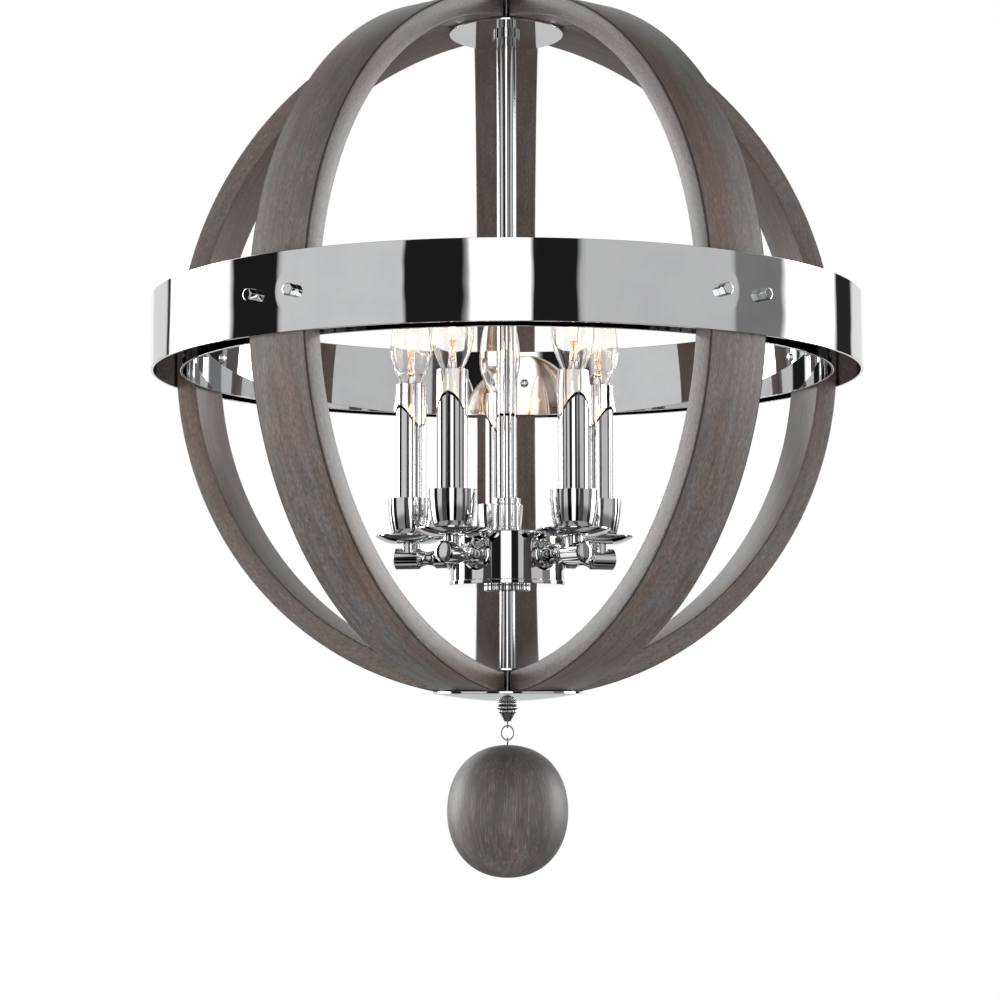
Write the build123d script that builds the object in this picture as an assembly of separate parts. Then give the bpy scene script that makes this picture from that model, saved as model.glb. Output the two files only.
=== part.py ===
from build123d import *
from math import asin, cos, degrees, hypot, pi, radians, sin, sqrt
import os

os.makedirs("parts", exist_ok=True)

# Pendant light, in millimetres, +Z up. Heights below are measured from the centre of the globe.
# The finished pieces are written with the centre of the hanging loop as the origin.

# Fits between pieces
seat_gap = 0.02            # between faces that touch
slip_gap = 0.15            # radial room of a piece that slides over another
swing_gap = 0.2            # between the loose wires of the ball's chain

# Bands round the equator
band_diameter = 508.0      # outside of the outer band
band_height = 52.0
band_lift = 5.5            # band centre above the globe's centre
outer_band_wall = 2.0
inner_band_wall = 2.0

# Bent-wood ribs
rib_count = 5
rib_first_angle = 90.0     # the rib straight behind the front
rib_width = 47.5
rib_thickness = 15.5
rib_arris = 1.5
rib_end_gap = 5.0          # between the mitred ends of neighbours
rib_end_hole = 12.0        # radius left free round the pipe

# Screws and cap nuts through the bands
screw_diameter = 4.0
screw_spacing = 33.0       # between the two screws of a rib
screw_head_radius = 3.4
screw_head_height = 2.2
screw_engagement = 4.0     # shank length inside the nut
nut_across_flats = 7.4
nut_height = 6.4
nut_end_round = 0.7        # roll of the hexagon's corners at its outer end
nut_dimple_radius = 1.9
nut_dimple_depth = 0.7
nut_bore_spare = 0.6       # bore past the end of the shank

# Discs and dishes that clamp the rib ends
inner_disc_radius = 41.3
inner_disc_thickness = 1.5
dish_radius = 53.7
dish_wall = 1.6

# Stem
pipe_diameter = 8.0
pipe_bore = 5.0
upper_stem_diameter = 14.0
upper_stem_wall = 1.5
lower_stem_diameter = 11.0
lower_stem_wall = 1.2
top_collar_diameter = 19.0
top_collar_height = 3.7

# Hub
drum_top_drop = 133.5      # drum top below the globe's centre
drum_diameter = 82.0
drum_height = 34.5
drum_wall = 1.5
drum_top_round = 1.2
hub_collar_diameter = 19.2
hub_collar_height = 25.0
hub_collar_lip = 4.0
hub_collar_groove_depth = 0.7
hub_collar_groove_width = 1.0
hub_collar_base_height = 4.5
hub_collar_base_step = 0.5
cover_thickness = 3.0
cover_lip = 0.8            # cover edge proud of the drum
cover_spigot_height = 2.5
cover_spigot_wall = 1.5
ring_nut_diameter = 33.0
ring_nut_height = 4.0
ring_nut_edge = 0.5        # chamfer above and below its lobes
ring_nut_flutes = 16
ring_nut_flute_radius = 1.1
terminal_ring_diameter = 40.0
terminal_ring_height = 18.0

# Arms, measured from the pendant's axis along the arm
arm_first_angle = 94.0
arm_drop = 17.2            # arm axis below the drum top
arm_foot_radius = 11.0
arm_foot_length = 6.0
arm_foot_hollow = 0.3      # share of the foot that lies below its hollow curve
arm_tube_diameter = 14.6
arm_tube_length = 5.5      # straight tube between foot and waist
arm_waist_diameter = 9.6
arm_waist_length = 13.0
arm_barrel_diameter = 15.3
arm_barrel_overhang = 10.6 # barrel past the candle's axis, to its shoulder
arm_end_bulge = 1.6
arm_end_step = 1.2         # shoulder of the domed end
arm_neck_diameter = 13.0
arm_neck_height = 2.8
arm_bore = 6.0
arm_spigot_diameter = 10.0
arm_spigot_reach = 6.0     # spigot inside the drum wall
arm_nut_across_flats = 14.0
arm_nut_thickness = 3.5

# Candles
candle_radius = 71.7       # candle axis from the pendant's axis
saucer_radius = 25.5
saucer_rise = 5.4
saucer_base_radius = 10.0
saucer_sag = 1.3           # bulge of the saucer wall below a straight line
saucer_wall = 1.0
cup_height = 32.0
cup_mouth_radius = 16.8
cup_foot_room = 0.4        # round the sleeve, at the cup's floor
cup_base_round = 3.0
cup_swell = 1.1            # bulge of the cup wall outside a straight line
cup_wall = 1.2
cup_floor = 1.5
sleeve_diameter = 22.0
sleeve_wall = 0.8
sleeve_length = 113.8
post_diameter = 8.0
post_bore = 5.0
post_engagement = 5.0      # post inside the arm, below the barrel's top
socket_height = 38.0
socket_sink = 3.0          # socket top below the sleeve's mouth
socket_room = 0.5          # radial room inside the sleeve
lead_diameter = 2.4
lead_bend = 4.0

# Bulbs
bulb_base_diameter = 12.0
bulb_base_length = 20.0
bulb_base_sink = 2.0       # top of the base below the sleeve's mouth
bulb_contact_radius = 3.0
bulb_contact_height = 2.0
bulb_neck_radius = 6.6
bulb_neck_lean = 0.42      # outward slope of the glass where it leaves the base
bulb_neck_pull = 9.0       # height over which it keeps that slope
bulb_radius = 15.3
bulb_belly_height = 27.0   # widest point above the base
bulb_belly_pull = 10.0     # upright run of the glass below the widest point
bulb_crown_pull = 22.0     # upright run of the glass above the widest point
bulb_tip_pull = 6.0        # bluntness of the tip
bulb_height = 78.0         # glass above the base
bulb_wall = 0.8
bulb_mount_radius = 2.6
bulb_mount_height = 22.0
filament_wire = 0.8
filament_height = 16.0     # above the mount
filament_spread = 7.0

# Finial knob, chain and ball
knob_upper_ring_radius = 6.9
knob_middle_ring_radius = 7.8
knob_lower_ring_radius = 6.5
knob_ring_height = 2.7
knob_ring_round = 1.0
knob_flutes = 14
knob_flute_radius = 0.6
knob_cone_top_radius = 5.6
knob_cone_tip_radius = 2.3
knob_cone_height = 5.9
knob_pipe_depth = 6.0
eye_radius = 1.75          # to the middle of the wire
eye_wire = 1.2
eye_shank_diameter = 1.6
eye_shank_length = 5.0
link_wire = 1.0
link_half_width = 4.4      # to the middle of the wire
link_half_height = 5.2
link_end_radius = 2.0
ball_eye_stand = 0.5       # ring of the ball's eye above the wood
ball_diameter = 86.0
ball_height = 93.5
ball_fullness = 0.6        # 0.552 is an ellipse, more is blunter

# Hanging loop
loop_bore = 20.0
loop_wall = 4.5
loop_thickness = 8.0
loop_section_round = 1.5
loop_sink = 1.5            # ring into the top of its boss
loop_boss_height = 9.0
loop_boss_radius = 10.0
loop_boss_top_radius = 7.0
loop_thread_depth = 7.5

# Sizes that follow from those above
band_outer_radius = band_diameter / 2
outer_band_bore = band_outer_radius - outer_band_wall
rib_outer_radius = sqrt((outer_band_bore - seat_gap) ** 2 - (rib_width / 2) ** 2)
rib_inner_radius = rib_outer_radius - rib_thickness
band_edge_height = abs(band_lift) + band_height / 2
inner_band_radius = sqrt(rib_inner_radius ** 2 - band_edge_height ** 2) - seat_gap
inner_band_bore = inner_band_radius - inner_band_wall
screw_angle = degrees(asin(screw_spacing / 2 / band_outer_radius))
screw_hole_radius = screw_diameter / 2 + slip_gap
pipe_hole_radius = pipe_diameter / 2 + slip_gap
disc_face_height = sqrt(rib_inner_radius ** 2 - inner_disc_radius ** 2) - seat_gap
disc_stem_height = disc_face_height - inner_disc_thickness
dish_top = outer_band_bore + dish_wall
drum_radius = drum_diameter / 2
drum_bore = drum_radius - drum_wall
drum_top = -drum_top_drop
cover_top = drum_top - drum_height
ring_nut_top = cover_top - cover_thickness
lower_stem_top = ring_nut_top - ring_nut_height
arm_axis = drum_top - arm_drop
arm_barrel_radius = arm_barrel_diameter / 2
saucer_base = arm_axis + arm_barrel_radius + arm_neck_height
cup_base = saucer_base + saucer_wall
cup_foot_radius = sleeve_diameter / 2 + cup_foot_room + cup_wall
sleeve_base = cup_base + cup_floor
sleeve_top = sleeve_base + sleeve_length
socket_top = sleeve_top - socket_sink
socket_base = socket_top - socket_height
socket_radius = sleeve_diameter / 2 - sleeve_wall - socket_room
post_base = arm_axis + arm_barrel_radius - post_engagement
post_hole_radius = post_diameter / 2 + slip_gap
bulb_base_top = sleeve_top - bulb_base_sink
bulb_base_bottom = bulb_base_top - bulb_base_length
knob_top = -dish_top
knob_ring_radii = (knob_upper_ring_radius, knob_middle_ring_radius, knob_lower_ring_radius)
knob_cone_top = knob_top - len(knob_ring_radii) * knob_ring_height
knob_tip = knob_cone_top - knob_cone_height
eye_ring_outer = eye_radius + eye_wire / 2
wire_step = (eye_wire + link_wire) / 2 + swing_gap
knob_eye_centre = knob_tip - eye_ring_outer - seat_gap
link_pivot = knob_eye_centre - eye_radius
link_centre = link_pivot + wire_step - link_half_height
ball_pivot = link_centre - link_half_height
ball_eye_centre = ball_pivot + wire_step - eye_radius
ball_top = ball_eye_centre - eye_ring_outer - ball_eye_stand
loop_centre = dish_top + loop_boss_height + loop_bore / 2 + loop_wall - loop_sink

rib_angles = [rib_first_angle + 360 / rib_count * i for i in range(rib_count)]
arm_angles = [arm_first_angle + 360 / rib_count * i for i in range(rib_count)]


def turned(*edges):
    # A solid turned about the vertical axis from an outline drawn as radius and height.
    return revolve(Plane.XZ * make_face(list(edges)), Axis.Z)


def turned_outline(*points):
    return turned(Polyline(*points, close=True))


def cap_points(radius, base, height):
    # Middle and crown of a spherical cap that starts at a radius and closes on the axis.
    sphere = (radius ** 2 + height ** 2) / (2 * height)
    centre = base + height - sphere
    half_angle = asin(radius / abs(sphere)) / 2
    return (abs(sphere) * sin(half_angle), centre + sphere * cos(half_angle)), (0, base + height)


def cap_arc(radius, base, height):
    return ThreePointArc((radius, base), *cap_points(radius, base, height))


def tube(outer_radius, bore_radius, bottom, top):
    return turned_outline((bore_radius, bottom), (outer_radius, bottom),
                          (outer_radius, top), (bore_radius, top))


def rod(radius, bottom, top):
    return Pos(0, 0, bottom) * Cylinder(radius, top - bottom, align=(Align.CENTER, Align.CENTER, Align.MIN))


def radial_rod(radius, start, end, height):
    # A rod lying along +X, from one distance to another.
    lying = Pos(start, 0, height) * Rot(0, 90, 0)
    return lying * Cylinder(radius, end - start, align=(Align.CENTER, Align.CENTER, Align.MIN))


def fluted(shape, radius, count, flute_radius, bottom, top):
    flute = Pos(radius, 0, 0) * rod(flute_radius, bottom, top)
    return shape - [Rot(0, 0, 360 / count * i) * flute for i in range(count)]


def at_candles(shape):
    return [Rot(0, 0, angle) * Pos(candle_radius, 0, 0) * shape for angle in arm_angles]


def at_screws(shape):
    return [Rot(0, 0, angle + side * screw_angle) * shape for angle in rib_angles for side in (-1, 1)]


# Bands, with a hole for each screw
screw_holes = at_screws(radial_rod(screw_hole_radius, inner_band_bore - inner_band_wall,
                                   band_outer_radius + outer_band_wall, band_lift))
band_bottom = band_lift - band_height / 2
band_top = band_lift + band_height / 2
outer_band = tube(band_outer_radius, outer_band_bore, band_bottom, band_top) - screw_holes
inner_band = tube(inner_band_radius, inner_band_bore, band_bottom, band_top) - screw_holes


def rib():
    # Half a hoop in the XZ plane: flat faces, softened edges, ends mitred to a fifth of a turn.
    section = RectangleRounded(rib_width, rib_thickness, rib_arris)
    at_pole = Plane.YZ * Pos(0, (rib_outer_radius + rib_inner_radius) / 2) * section
    hoop = revolve(at_pole, Axis.Y, 180)
    half_turn = radians(180 / rib_count)
    tip = rib_end_gap / 2 / sin(half_turn)
    reach = 2 * rib_outer_radius
    corner = (reach, (reach - tip) * sin(half_turn) / cos(half_turn))
    sector = Polyline((tip, 0), corner, (corner[0], -corner[1]), close=True)
    wedge = extrude(make_face(sector), reach, both=True)
    wooden = (hoop & wedge) - rod(rib_end_hole, -reach, reach)
    return wooden - [Rot(0, 0, side * screw_angle) * radial_rod(screw_hole_radius, rib_inner_radius / 2,
                                                               reach, band_lift) for side in (-1, 1)]


def band_screw():
    # Dome-headed screw lying along +X, its head inside the inner band.
    seat = sqrt(inner_band_bore ** 2 - screw_head_radius ** 2) - seat_gap
    shank_end = band_outer_radius + screw_engagement
    head = turned(cap_arc(screw_head_radius, 0, -screw_head_height),
                  Line((0, -screw_head_height), (0, 0)), Line((0, 0), (screw_head_radius, 0)))
    return Pos(seat, 0, band_lift) * Rot(0, 90, 0) * (head + rod(screw_diameter / 2, 0, shank_end - seat))


def cap_nut():
    # Short hexagon nut, its corners rolled off at the dimpled outer end and its blind bore facing the band.
    corner = nut_across_flats / 2 / cos(pi / 6)
    face = corner - 2 * nut_end_round
    hexagon = extrude(RegularPolygon(nut_across_flats / 2, 6, major_radius=False), nut_height)
    rolled = turned_outline((0, 0), (corner, 0), (corner, nut_height - nut_end_round), (face, nut_height),
                            (nut_dimple_radius, nut_height), (0, nut_height - nut_dimple_depth))
    nut = (hexagon & rolled) - rod(screw_diameter / 2 + slip_gap, 0, screw_engagement + nut_bore_spare)
    return Pos(band_outer_radius + seat_gap, 0, band_lift) * Rot(0, 90, 0) * nut


# Discs inside the rib ends, and dishes outside them that follow the globe
upper_disc = tube(inner_disc_radius, pipe_hole_radius, disc_stem_height, disc_face_height)
lower_disc = tube(inner_disc_radius, pipe_hole_radius, -disc_face_height, -disc_stem_height)


def dish():
    def on_curve(distance, curve_radius):
        return (distance, sqrt(curve_radius ** 2 - distance ** 2))

    middle = (pipe_hole_radius + dish_radius) / 2
    inside = [on_curve(r, outer_band_bore) for r in (pipe_hole_radius, middle, dish_radius)]
    outside = [on_curve(r, dish_top) for r in (dish_radius, middle, pipe_hole_radius)]
    return turned(ThreePointArc(*inside), Line(inside[2], outside[0]), ThreePointArc(*outside),
                  Line(outside[2], inside[0]))


# Stem and the pipe that runs through it
upper_stem_radius = upper_stem_diameter / 2
lower_stem_radius = lower_stem_diameter / 2
upper_stem_top = disc_stem_height - top_collar_height
upper_stem = tube(upper_stem_radius, upper_stem_radius - upper_stem_wall, drum_top, upper_stem_top)
lower_stem = tube(lower_stem_radius, lower_stem_radius - lower_stem_wall, -disc_stem_height, lower_stem_top)
top_collar = tube(top_collar_diameter / 2, pipe_hole_radius, upper_stem_top, disc_stem_height)
pipe_top = dish_top + loop_thread_depth - slip_gap
pipe_bottom = knob_top - knob_pipe_depth + slip_gap
threaded_pipe = tube(pipe_diameter / 2, pipe_bore / 2, pipe_bottom, pipe_top)


def hub_collar():
    body = hub_collar_diameter / 2
    base = body + hub_collar_base_step
    groove = body - hub_collar_groove_depth
    top = drum_top + hub_collar_height
    lip = top - hub_collar_lip
    bore = upper_stem_radius + slip_gap
    return turned_outline((bore, drum_top), (base, drum_top), (base, drum_top + hub_collar_base_height),
                          (body, drum_top + hub_collar_base_height), (body, lip - hub_collar_groove_width),
                          (groove, lip - hub_collar_groove_width), (groove, lip), (body, lip), (body, top),
                          (bore, top))


def hub_drum():
    outside = rod(drum_radius, cover_top, drum_top)
    outside = fillet(outside.edges().sort_by(Axis.Z)[-1], drum_top_round)
    hollow = rod(drum_bore, cover_top, drum_top - drum_wall) + rod(pipe_hole_radius, cover_top, drum_top)
    arm_hole = radial_rod(arm_spigot_diameter / 2 + slip_gap, 0, drum_diameter, arm_axis)
    return outside - hollow - [Rot(0, 0, angle) * arm_hole for angle in arm_angles]


def hub_cover():
    edge = drum_radius + cover_lip
    spigot = drum_bore - slip_gap
    inside = spigot - cover_spigot_wall
    spigot_top = cover_top + cover_spigot_height
    return turned_outline((pipe_hole_radius, ring_nut_top), (edge, ring_nut_top), (edge, cover_top),
                          (spigot, cover_top), (spigot, spigot_top), (inside, spigot_top),
                          (inside, cover_top), (pipe_hole_radius, cover_top))


def ring_nut():
    edge = ring_nut_diameter / 2
    inset = edge - ring_nut_edge
    body = turned_outline((pipe_hole_radius, lower_stem_top), (inset, lower_stem_top),
                          (edge, lower_stem_top + ring_nut_edge), (edge, ring_nut_top - ring_nut_edge),
                          (inset, ring_nut_top), (pipe_hole_radius, ring_nut_top))
    return fluted(body, edge, ring_nut_flutes, ring_nut_flute_radius, lower_stem_top, ring_nut_top)


terminal_ring = tube(terminal_ring_diameter / 2, pipe_hole_radius, arm_axis - terminal_ring_height / 2,
                     arm_axis + terminal_ring_height / 2)


def arm():
    # Turned along +X from the drum: foot, tube, waist, barrel and domed end, then the upright neck.
    tube_radius = arm_tube_diameter / 2
    foot_end = drum_radius + arm_foot_length
    tube_end = foot_end + arm_tube_length
    barrel_start = tube_end + arm_waist_length
    barrel_end = candle_radius + arm_barrel_overhang
    crown = barrel_end + arm_end_bulge
    shoulder = (barrel_end + arm_end_step / 2, arm_barrel_radius - arm_end_step)
    hollow = (drum_radius + arm_foot_hollow * arm_foot_length,
              tube_radius + arm_foot_hollow * (arm_foot_radius - tube_radius))
    waist = ((tube_end + barrel_start) / 2, arm_waist_diameter / 2)
    cap_middle, cap_crown = cap_points(shoulder[1], shoulder[0], crown - shoulder[0])
    root = drum_radius - drum_wall
    outline = [Line((root, 0), (root, arm_foot_radius)),
               Line((root, arm_foot_radius), (drum_radius, arm_foot_radius)),
               ThreePointArc((drum_radius, arm_foot_radius), hollow, (foot_end, tube_radius)),
               Line((foot_end, tube_radius), (tube_end, tube_radius)),
               ThreePointArc((tube_end, tube_radius), waist, (barrel_start, arm_barrel_radius)),
               Line((barrel_start, arm_barrel_radius), (barrel_end, arm_barrel_radius)),
               Line((barrel_end, arm_barrel_radius), shoulder),
               ThreePointArc(shoulder, cap_middle[::-1], cap_crown[::-1]),
               Line((crown, 0), (root, 0))]
    lying = Pos(0, 0, arm_axis) * revolve(Plane.XZ * make_face(outline), Axis.X)
    lying -= rod(drum_radius + seat_gap, arm_axis - drum_height, arm_axis + drum_height)
    spigot_start = drum_bore - arm_spigot_reach
    lying += radial_rod(arm_spigot_diameter / 2, spigot_start, foot_end, arm_axis)
    lying += Pos(candle_radius, 0, 0) * rod(arm_neck_diameter / 2, arm_axis, saucer_base)
    lying -= radial_rod(arm_bore / 2, spigot_start, candle_radius + arm_bore / 2, arm_axis)
    return lying - Pos(candle_radius, 0, 0) * rod(post_hole_radius, post_base, saucer_base)


def arm_nut():
    corner = arm_nut_across_flats / 2 / cos(pi / 6)
    face = sqrt(drum_bore ** 2 - corner ** 2) - seat_gap
    hexagon = extrude(RegularPolygon(arm_nut_across_flats / 2, 6, major_radius=False), arm_nut_thickness)
    hexagon -= rod(arm_spigot_diameter / 2 + seat_gap, 0, arm_nut_thickness)
    return Pos(face, 0, arm_axis) * Rot(0, -90, 0) * hexagon


def saucer():
    # A shallow dish of even wall, flat in the middle where the cup stands.
    rim = saucer_base + saucer_rise
    middle = (saucer_base_radius + saucer_radius) / 2
    low = saucer_base + saucer_rise / 2 - saucer_sag
    under = ThreePointArc((saucer_base_radius, saucer_base), (middle, low), (saucer_radius, rim))
    over = ThreePointArc((saucer_radius, rim + saucer_wall), (middle, low + saucer_wall),
                         (saucer_base_radius, cup_base))
    return turned(Line((post_hole_radius, saucer_base), (saucer_base_radius, saucer_base)), under,
                  Line((saucer_radius, rim), (saucer_radius, rim + saucer_wall)), over,
                  Line((saucer_base_radius, cup_base), (post_hole_radius, cup_base)),
                  Line((post_hole_radius, cup_base), (post_hole_radius, saucer_base)))


def cup():
    # A spun cup with a rounded foot and a wall that swells and widens to its mouth.
    top = cup_base + cup_height
    heel = cup_base + cup_base_round
    foot = cup_foot_radius - cup_base_round
    middle = ((cup_foot_radius + cup_mouth_radius) / 2 + cup_swell, (heel + top) / 2)
    halfway = cup_base_round * sin(pi / 4)
    turn = ThreePointArc((foot, cup_base), (foot + halfway, heel - halfway), (cup_foot_radius, heel))
    outside = ThreePointArc((cup_foot_radius, heel), middle, (cup_mouth_radius, top))
    inside = ThreePointArc((cup_mouth_radius - cup_wall, top), (middle[0] - cup_wall, middle[1]),
                           (cup_foot_radius - cup_wall, heel))
    return turned(Line((post_hole_radius, cup_base), (foot, cup_base)), turn, outside,
                  Line((cup_mouth_radius, top), (cup_mouth_radius - cup_wall, top)), inside,
                  Line((cup_foot_radius - cup_wall, heel), (cup_foot_radius - cup_wall, sleeve_base)),
                  Line((cup_foot_radius - cup_wall, sleeve_base), (post_hole_radius, sleeve_base)),
                  Line((post_hole_radius, sleeve_base), (post_hole_radius, cup_base)))


def socket():
    # Lamp holder with a blind bore for the bulb's base and a hole for its contact.
    floor = bulb_base_bottom - bulb_contact_height
    bore = bulb_base_diameter / 2 + slip_gap
    return turned_outline((0, socket_base), (socket_radius, socket_base), (socket_radius, socket_top),
                          (bore, socket_top), (bore, floor), (0, floor))


def socket_lead():
    # A lead from under the socket, down the post and along the arm to the terminal ring.
    turn = arm_axis + lead_bend
    near = candle_radius - lead_bend
    bend = ThreePointArc((candle_radius, turn),
                         (near + lead_bend * cos(pi / 4), turn - lead_bend * sin(pi / 4)), (near, arm_axis))
    end = terminal_ring_diameter / 2 + seat_gap
    route = Plane.XZ * (Line((candle_radius, socket_base), (candle_radius, turn)) + bend
                        + Line((near, arm_axis), (end, arm_axis)))
    section = Pos(candle_radius, 0, socket_base) * Circle(lead_diameter / 2)
    return sweep(section, route)


def bulb_outline(inset):
    # From the base up to the widest point, and from there to the tip.
    neck = bulb_neck_radius - inset
    wide = bulb_radius - inset
    belly = bulb_base_top + bulb_belly_height
    tip = bulb_base_top + bulb_height - inset
    lower = Bezier((neck, bulb_base_top),
                   (neck + bulb_neck_lean * bulb_neck_pull, bulb_base_top + bulb_neck_pull),
                   (wide, belly - bulb_belly_pull), (wide, belly))
    upper = Bezier((wide, belly), (wide, belly + bulb_crown_pull), (bulb_tip_pull, tip), (0, tip))
    return lower, upper


def bulb_glass():
    outer_low, outer_top = bulb_outline(0)
    inner_low, inner_top = bulb_outline(bulb_wall)
    return turned(outer_low, outer_top, Line(outer_top @ 1, inner_top @ 1), inner_top, inner_low,
                  Line(inner_low @ 0, outer_low @ 0))


def bulb_base():
    shell = bulb_base_diameter / 2
    contact = bulb_base_bottom - bulb_contact_height
    return turned_outline((0, contact), (bulb_contact_radius, contact),
                          (bulb_contact_radius, bulb_base_bottom), (shell, bulb_base_bottom),
                          (shell, bulb_base_top), (0, bulb_base_top))


def bulb_filament():
    # Glass mount with two wires that open upwards and the filament between their tips.
    mount_top = bulb_base_top + bulb_mount_height
    tip = mount_top + filament_height
    half = filament_spread / 2
    wire = filament_wire / 2
    length = hypot(half, filament_height)
    lean = degrees(asin(half / length))
    mount = rod(bulb_mount_radius, bulb_base_top, mount_top)
    legs = [Pos(0, 0, mount_top) * Rot(0, side * lean, 0) * rod(wire, -wire, length) for side in (-1, 1)]
    bar = radial_rod(wire, -half, half, tip)
    return mount + legs + bar


def knob_ring(edge, top):
    # One bead row of the knob: a rounded rim with upright flutes.
    bottom = top - knob_ring_height
    neck = edge - knob_ring_round
    rim = ThreePointArc((neck, top), (edge, (top + bottom) / 2), (neck, bottom))
    core = Polyline((neck, bottom), (0, bottom), (0, top), (neck, top))
    ring = turned(rim, core)
    return fluted(ring, edge, knob_flutes, knob_flute_radius, bottom, top)


def finial_knob():
    # Three bead rows, the middle one the widest, over a cone.
    knob = turned_outline((0, knob_cone_top), (knob_cone_top_radius, knob_cone_top),
                          (knob_cone_tip_radius, knob_tip), (0, knob_tip))
    for row, edge in enumerate(knob_ring_radii):
        knob += knob_ring(edge, knob_top - row * knob_ring_height)
    knob -= rod(pipe_hole_radius, knob_top - knob_pipe_depth, knob_top)
    return knob - rod(eye_shank_diameter / 2 + seat_gap, knob_tip, knob_tip + eye_shank_length)


def wire_ring(centre):
    # A ring of eye wire standing in the YZ plane.
    return Pos(0, 0, centre) * Rot(0, 90, 0) * Torus(eye_radius, eye_wire / 2)


def knob_eye():
    shank_top = knob_tip + eye_shank_length - seat_gap
    shank = rod(eye_shank_diameter / 2, knob_eye_centre + eye_radius, shank_top)
    return wire_ring(knob_eye_centre) + shank


def ball_eye():
    shank = rod(eye_shank_diameter / 2, ball_top - eye_shank_length, ball_eye_centre - eye_radius)
    return wire_ring(ball_eye_centre) + shank


def chain_link():
    # An oval of four arcs in the XZ plane: two small ends and two long sides, tangent where they meet.
    end_centre = link_half_height - link_end_radius
    spread = link_half_width - link_end_radius
    side_offset = (end_centre ** 2 - spread ** 2) / (2 * spread)
    side_radius = link_half_width + side_offset
    reach = hypot(side_offset, end_centre)
    meet_x = -side_offset + side_radius * side_offset / reach
    meet_z = side_radius * end_centre / reach
    top = ThreePointArc((-meet_x, meet_z), (0, link_half_height), (meet_x, meet_z))
    right = ThreePointArc((meet_x, meet_z), (link_half_width, 0), (meet_x, -meet_z))
    bottom = ThreePointArc((meet_x, -meet_z), (0, -link_half_height), (-meet_x, -meet_z))
    left = ThreePointArc((-meet_x, -meet_z), (-link_half_width, 0), (-meet_x, meet_z))
    section = Pos(link_half_width, 0, 0) * Circle(link_wire / 2)
    half_right = sweep(section, Plane.XZ * (ThreePointArc(right @ 0.5, right @ 0.75, right @ 1) + bottom
                                            + ThreePointArc(left @ 0, left @ 0.25, left @ 0.5)))
    half_left = Rot(0, 180, 0) * half_right
    return Pos(0, 0, link_centre) * (half_right + half_left)


def wood_ball():
    # A full oval, drawn as two quarters that meet at its waist.
    radius, half_height = ball_diameter / 2, ball_height / 2
    along, up = ball_fullness * radius, ball_fullness * half_height
    upper = Bezier((0, half_height), (along, half_height), (radius, up), (radius, 0))
    lower = Bezier((radius, 0), (radius, -up), (along, -half_height), (0, -half_height))
    axis = Line((0, -half_height), (0, half_height))
    oval = Pos(0, 0, ball_top - half_height) * turned(upper, lower, axis)
    return oval - rod(eye_shank_diameter / 2 + seat_gap, ball_top - eye_shank_length - seat_gap, ball_top)


def hang_loop():
    section = RectangleRounded(loop_wall, loop_thickness, loop_section_round)
    ring = revolve(Plane.XZ * Pos((loop_bore + loop_wall) / 2, 0) * section, Axis.Z)
    upright = Pos(0, 0, loop_centre) * Rot(90, 0, 0) * ring
    boss_top = dish_top + loop_boss_height
    boss = turned_outline((0, dish_top), (loop_boss_radius, dish_top),
                          (loop_boss_top_radius, boss_top), (0, boss_top))
    return upright + boss - rod(pipe_hole_radius, dish_top, dish_top + loop_thread_depth)


def save(node, shape):
    placed = Pos(0, 0, -loop_centre) * shape
    export_step(placed, "parts/" + node + ".step")


def save_group(node, shapes):
    solids = [shape if isinstance(shape, Solid) else shape.solid() for shape in shapes]
    save(node, Compound(children=solids))


save("outer_band", outer_band)
save("inner_band", inner_band)
one_rib = rib()
for index, angle in enumerate(rib_angles):
    save("rib_%d" % (index + 1), Rot(0, 0, angle) * one_rib)
save_group("band_screws", at_screws(band_screw()))
save_group("band_cap_nuts", at_screws(cap_nut()))
save("upper_disc", upper_disc)
save("lower_disc", lower_disc)
save("upper_dish", dish())
save("lower_dish", Rot(180, 0, 0) * dish())
save("threaded_pipe", threaded_pipe)
save("upper_stem", upper_stem)
save("lower_stem", lower_stem)
save("top_collar", top_collar)
save("hub_collar", hub_collar())
save("hub_drum", hub_drum())
save("hub_cover", hub_cover())
save("ring_nut", ring_nut())
save("terminal_ring", terminal_ring)
save_group("arm_nuts", [Rot(0, 0, angle) * arm_nut() for angle in arm_angles])
save_group("socket_leads", [Rot(0, 0, angle) * socket_lead() for angle in arm_angles])
save_group("socket_posts", at_candles(tube(post_diameter / 2, post_bore / 2, post_base, socket_base)))
save_group("sockets", at_candles(socket()))
save_group("bulb_bases", at_candles(bulb_base()))
save_group("bulb_filaments", at_candles(bulb_filament()))
one_arm = arm()
for index, angle in enumerate(arm_angles):
    save("arm_%d" % (index + 1), Rot(0, 0, angle) * one_arm)
sleeve = tube(sleeve_diameter / 2, sleeve_diameter / 2 - sleeve_wall, sleeve_base, sleeve_top)
for name, piece in (("saucer", saucer()), ("cup", cup()), ("sleeve", sleeve), ("bulb_glass", bulb_glass())):
    for index, placed_piece in enumerate(at_candles(piece)):
        save("%s_%d" % (name, index + 1), placed_piece)
save("finial_knob", finial_knob())
save("knob_eye", knob_eye())
save("chain_link", chain_link())
save("ball_eye", ball_eye())
save("wood_ball", wood_ball())
save("hang_loop", hang_loop())
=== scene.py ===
import math

import bpy
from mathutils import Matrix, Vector
from mathutils.geometry import interpolate_bezier


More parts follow.
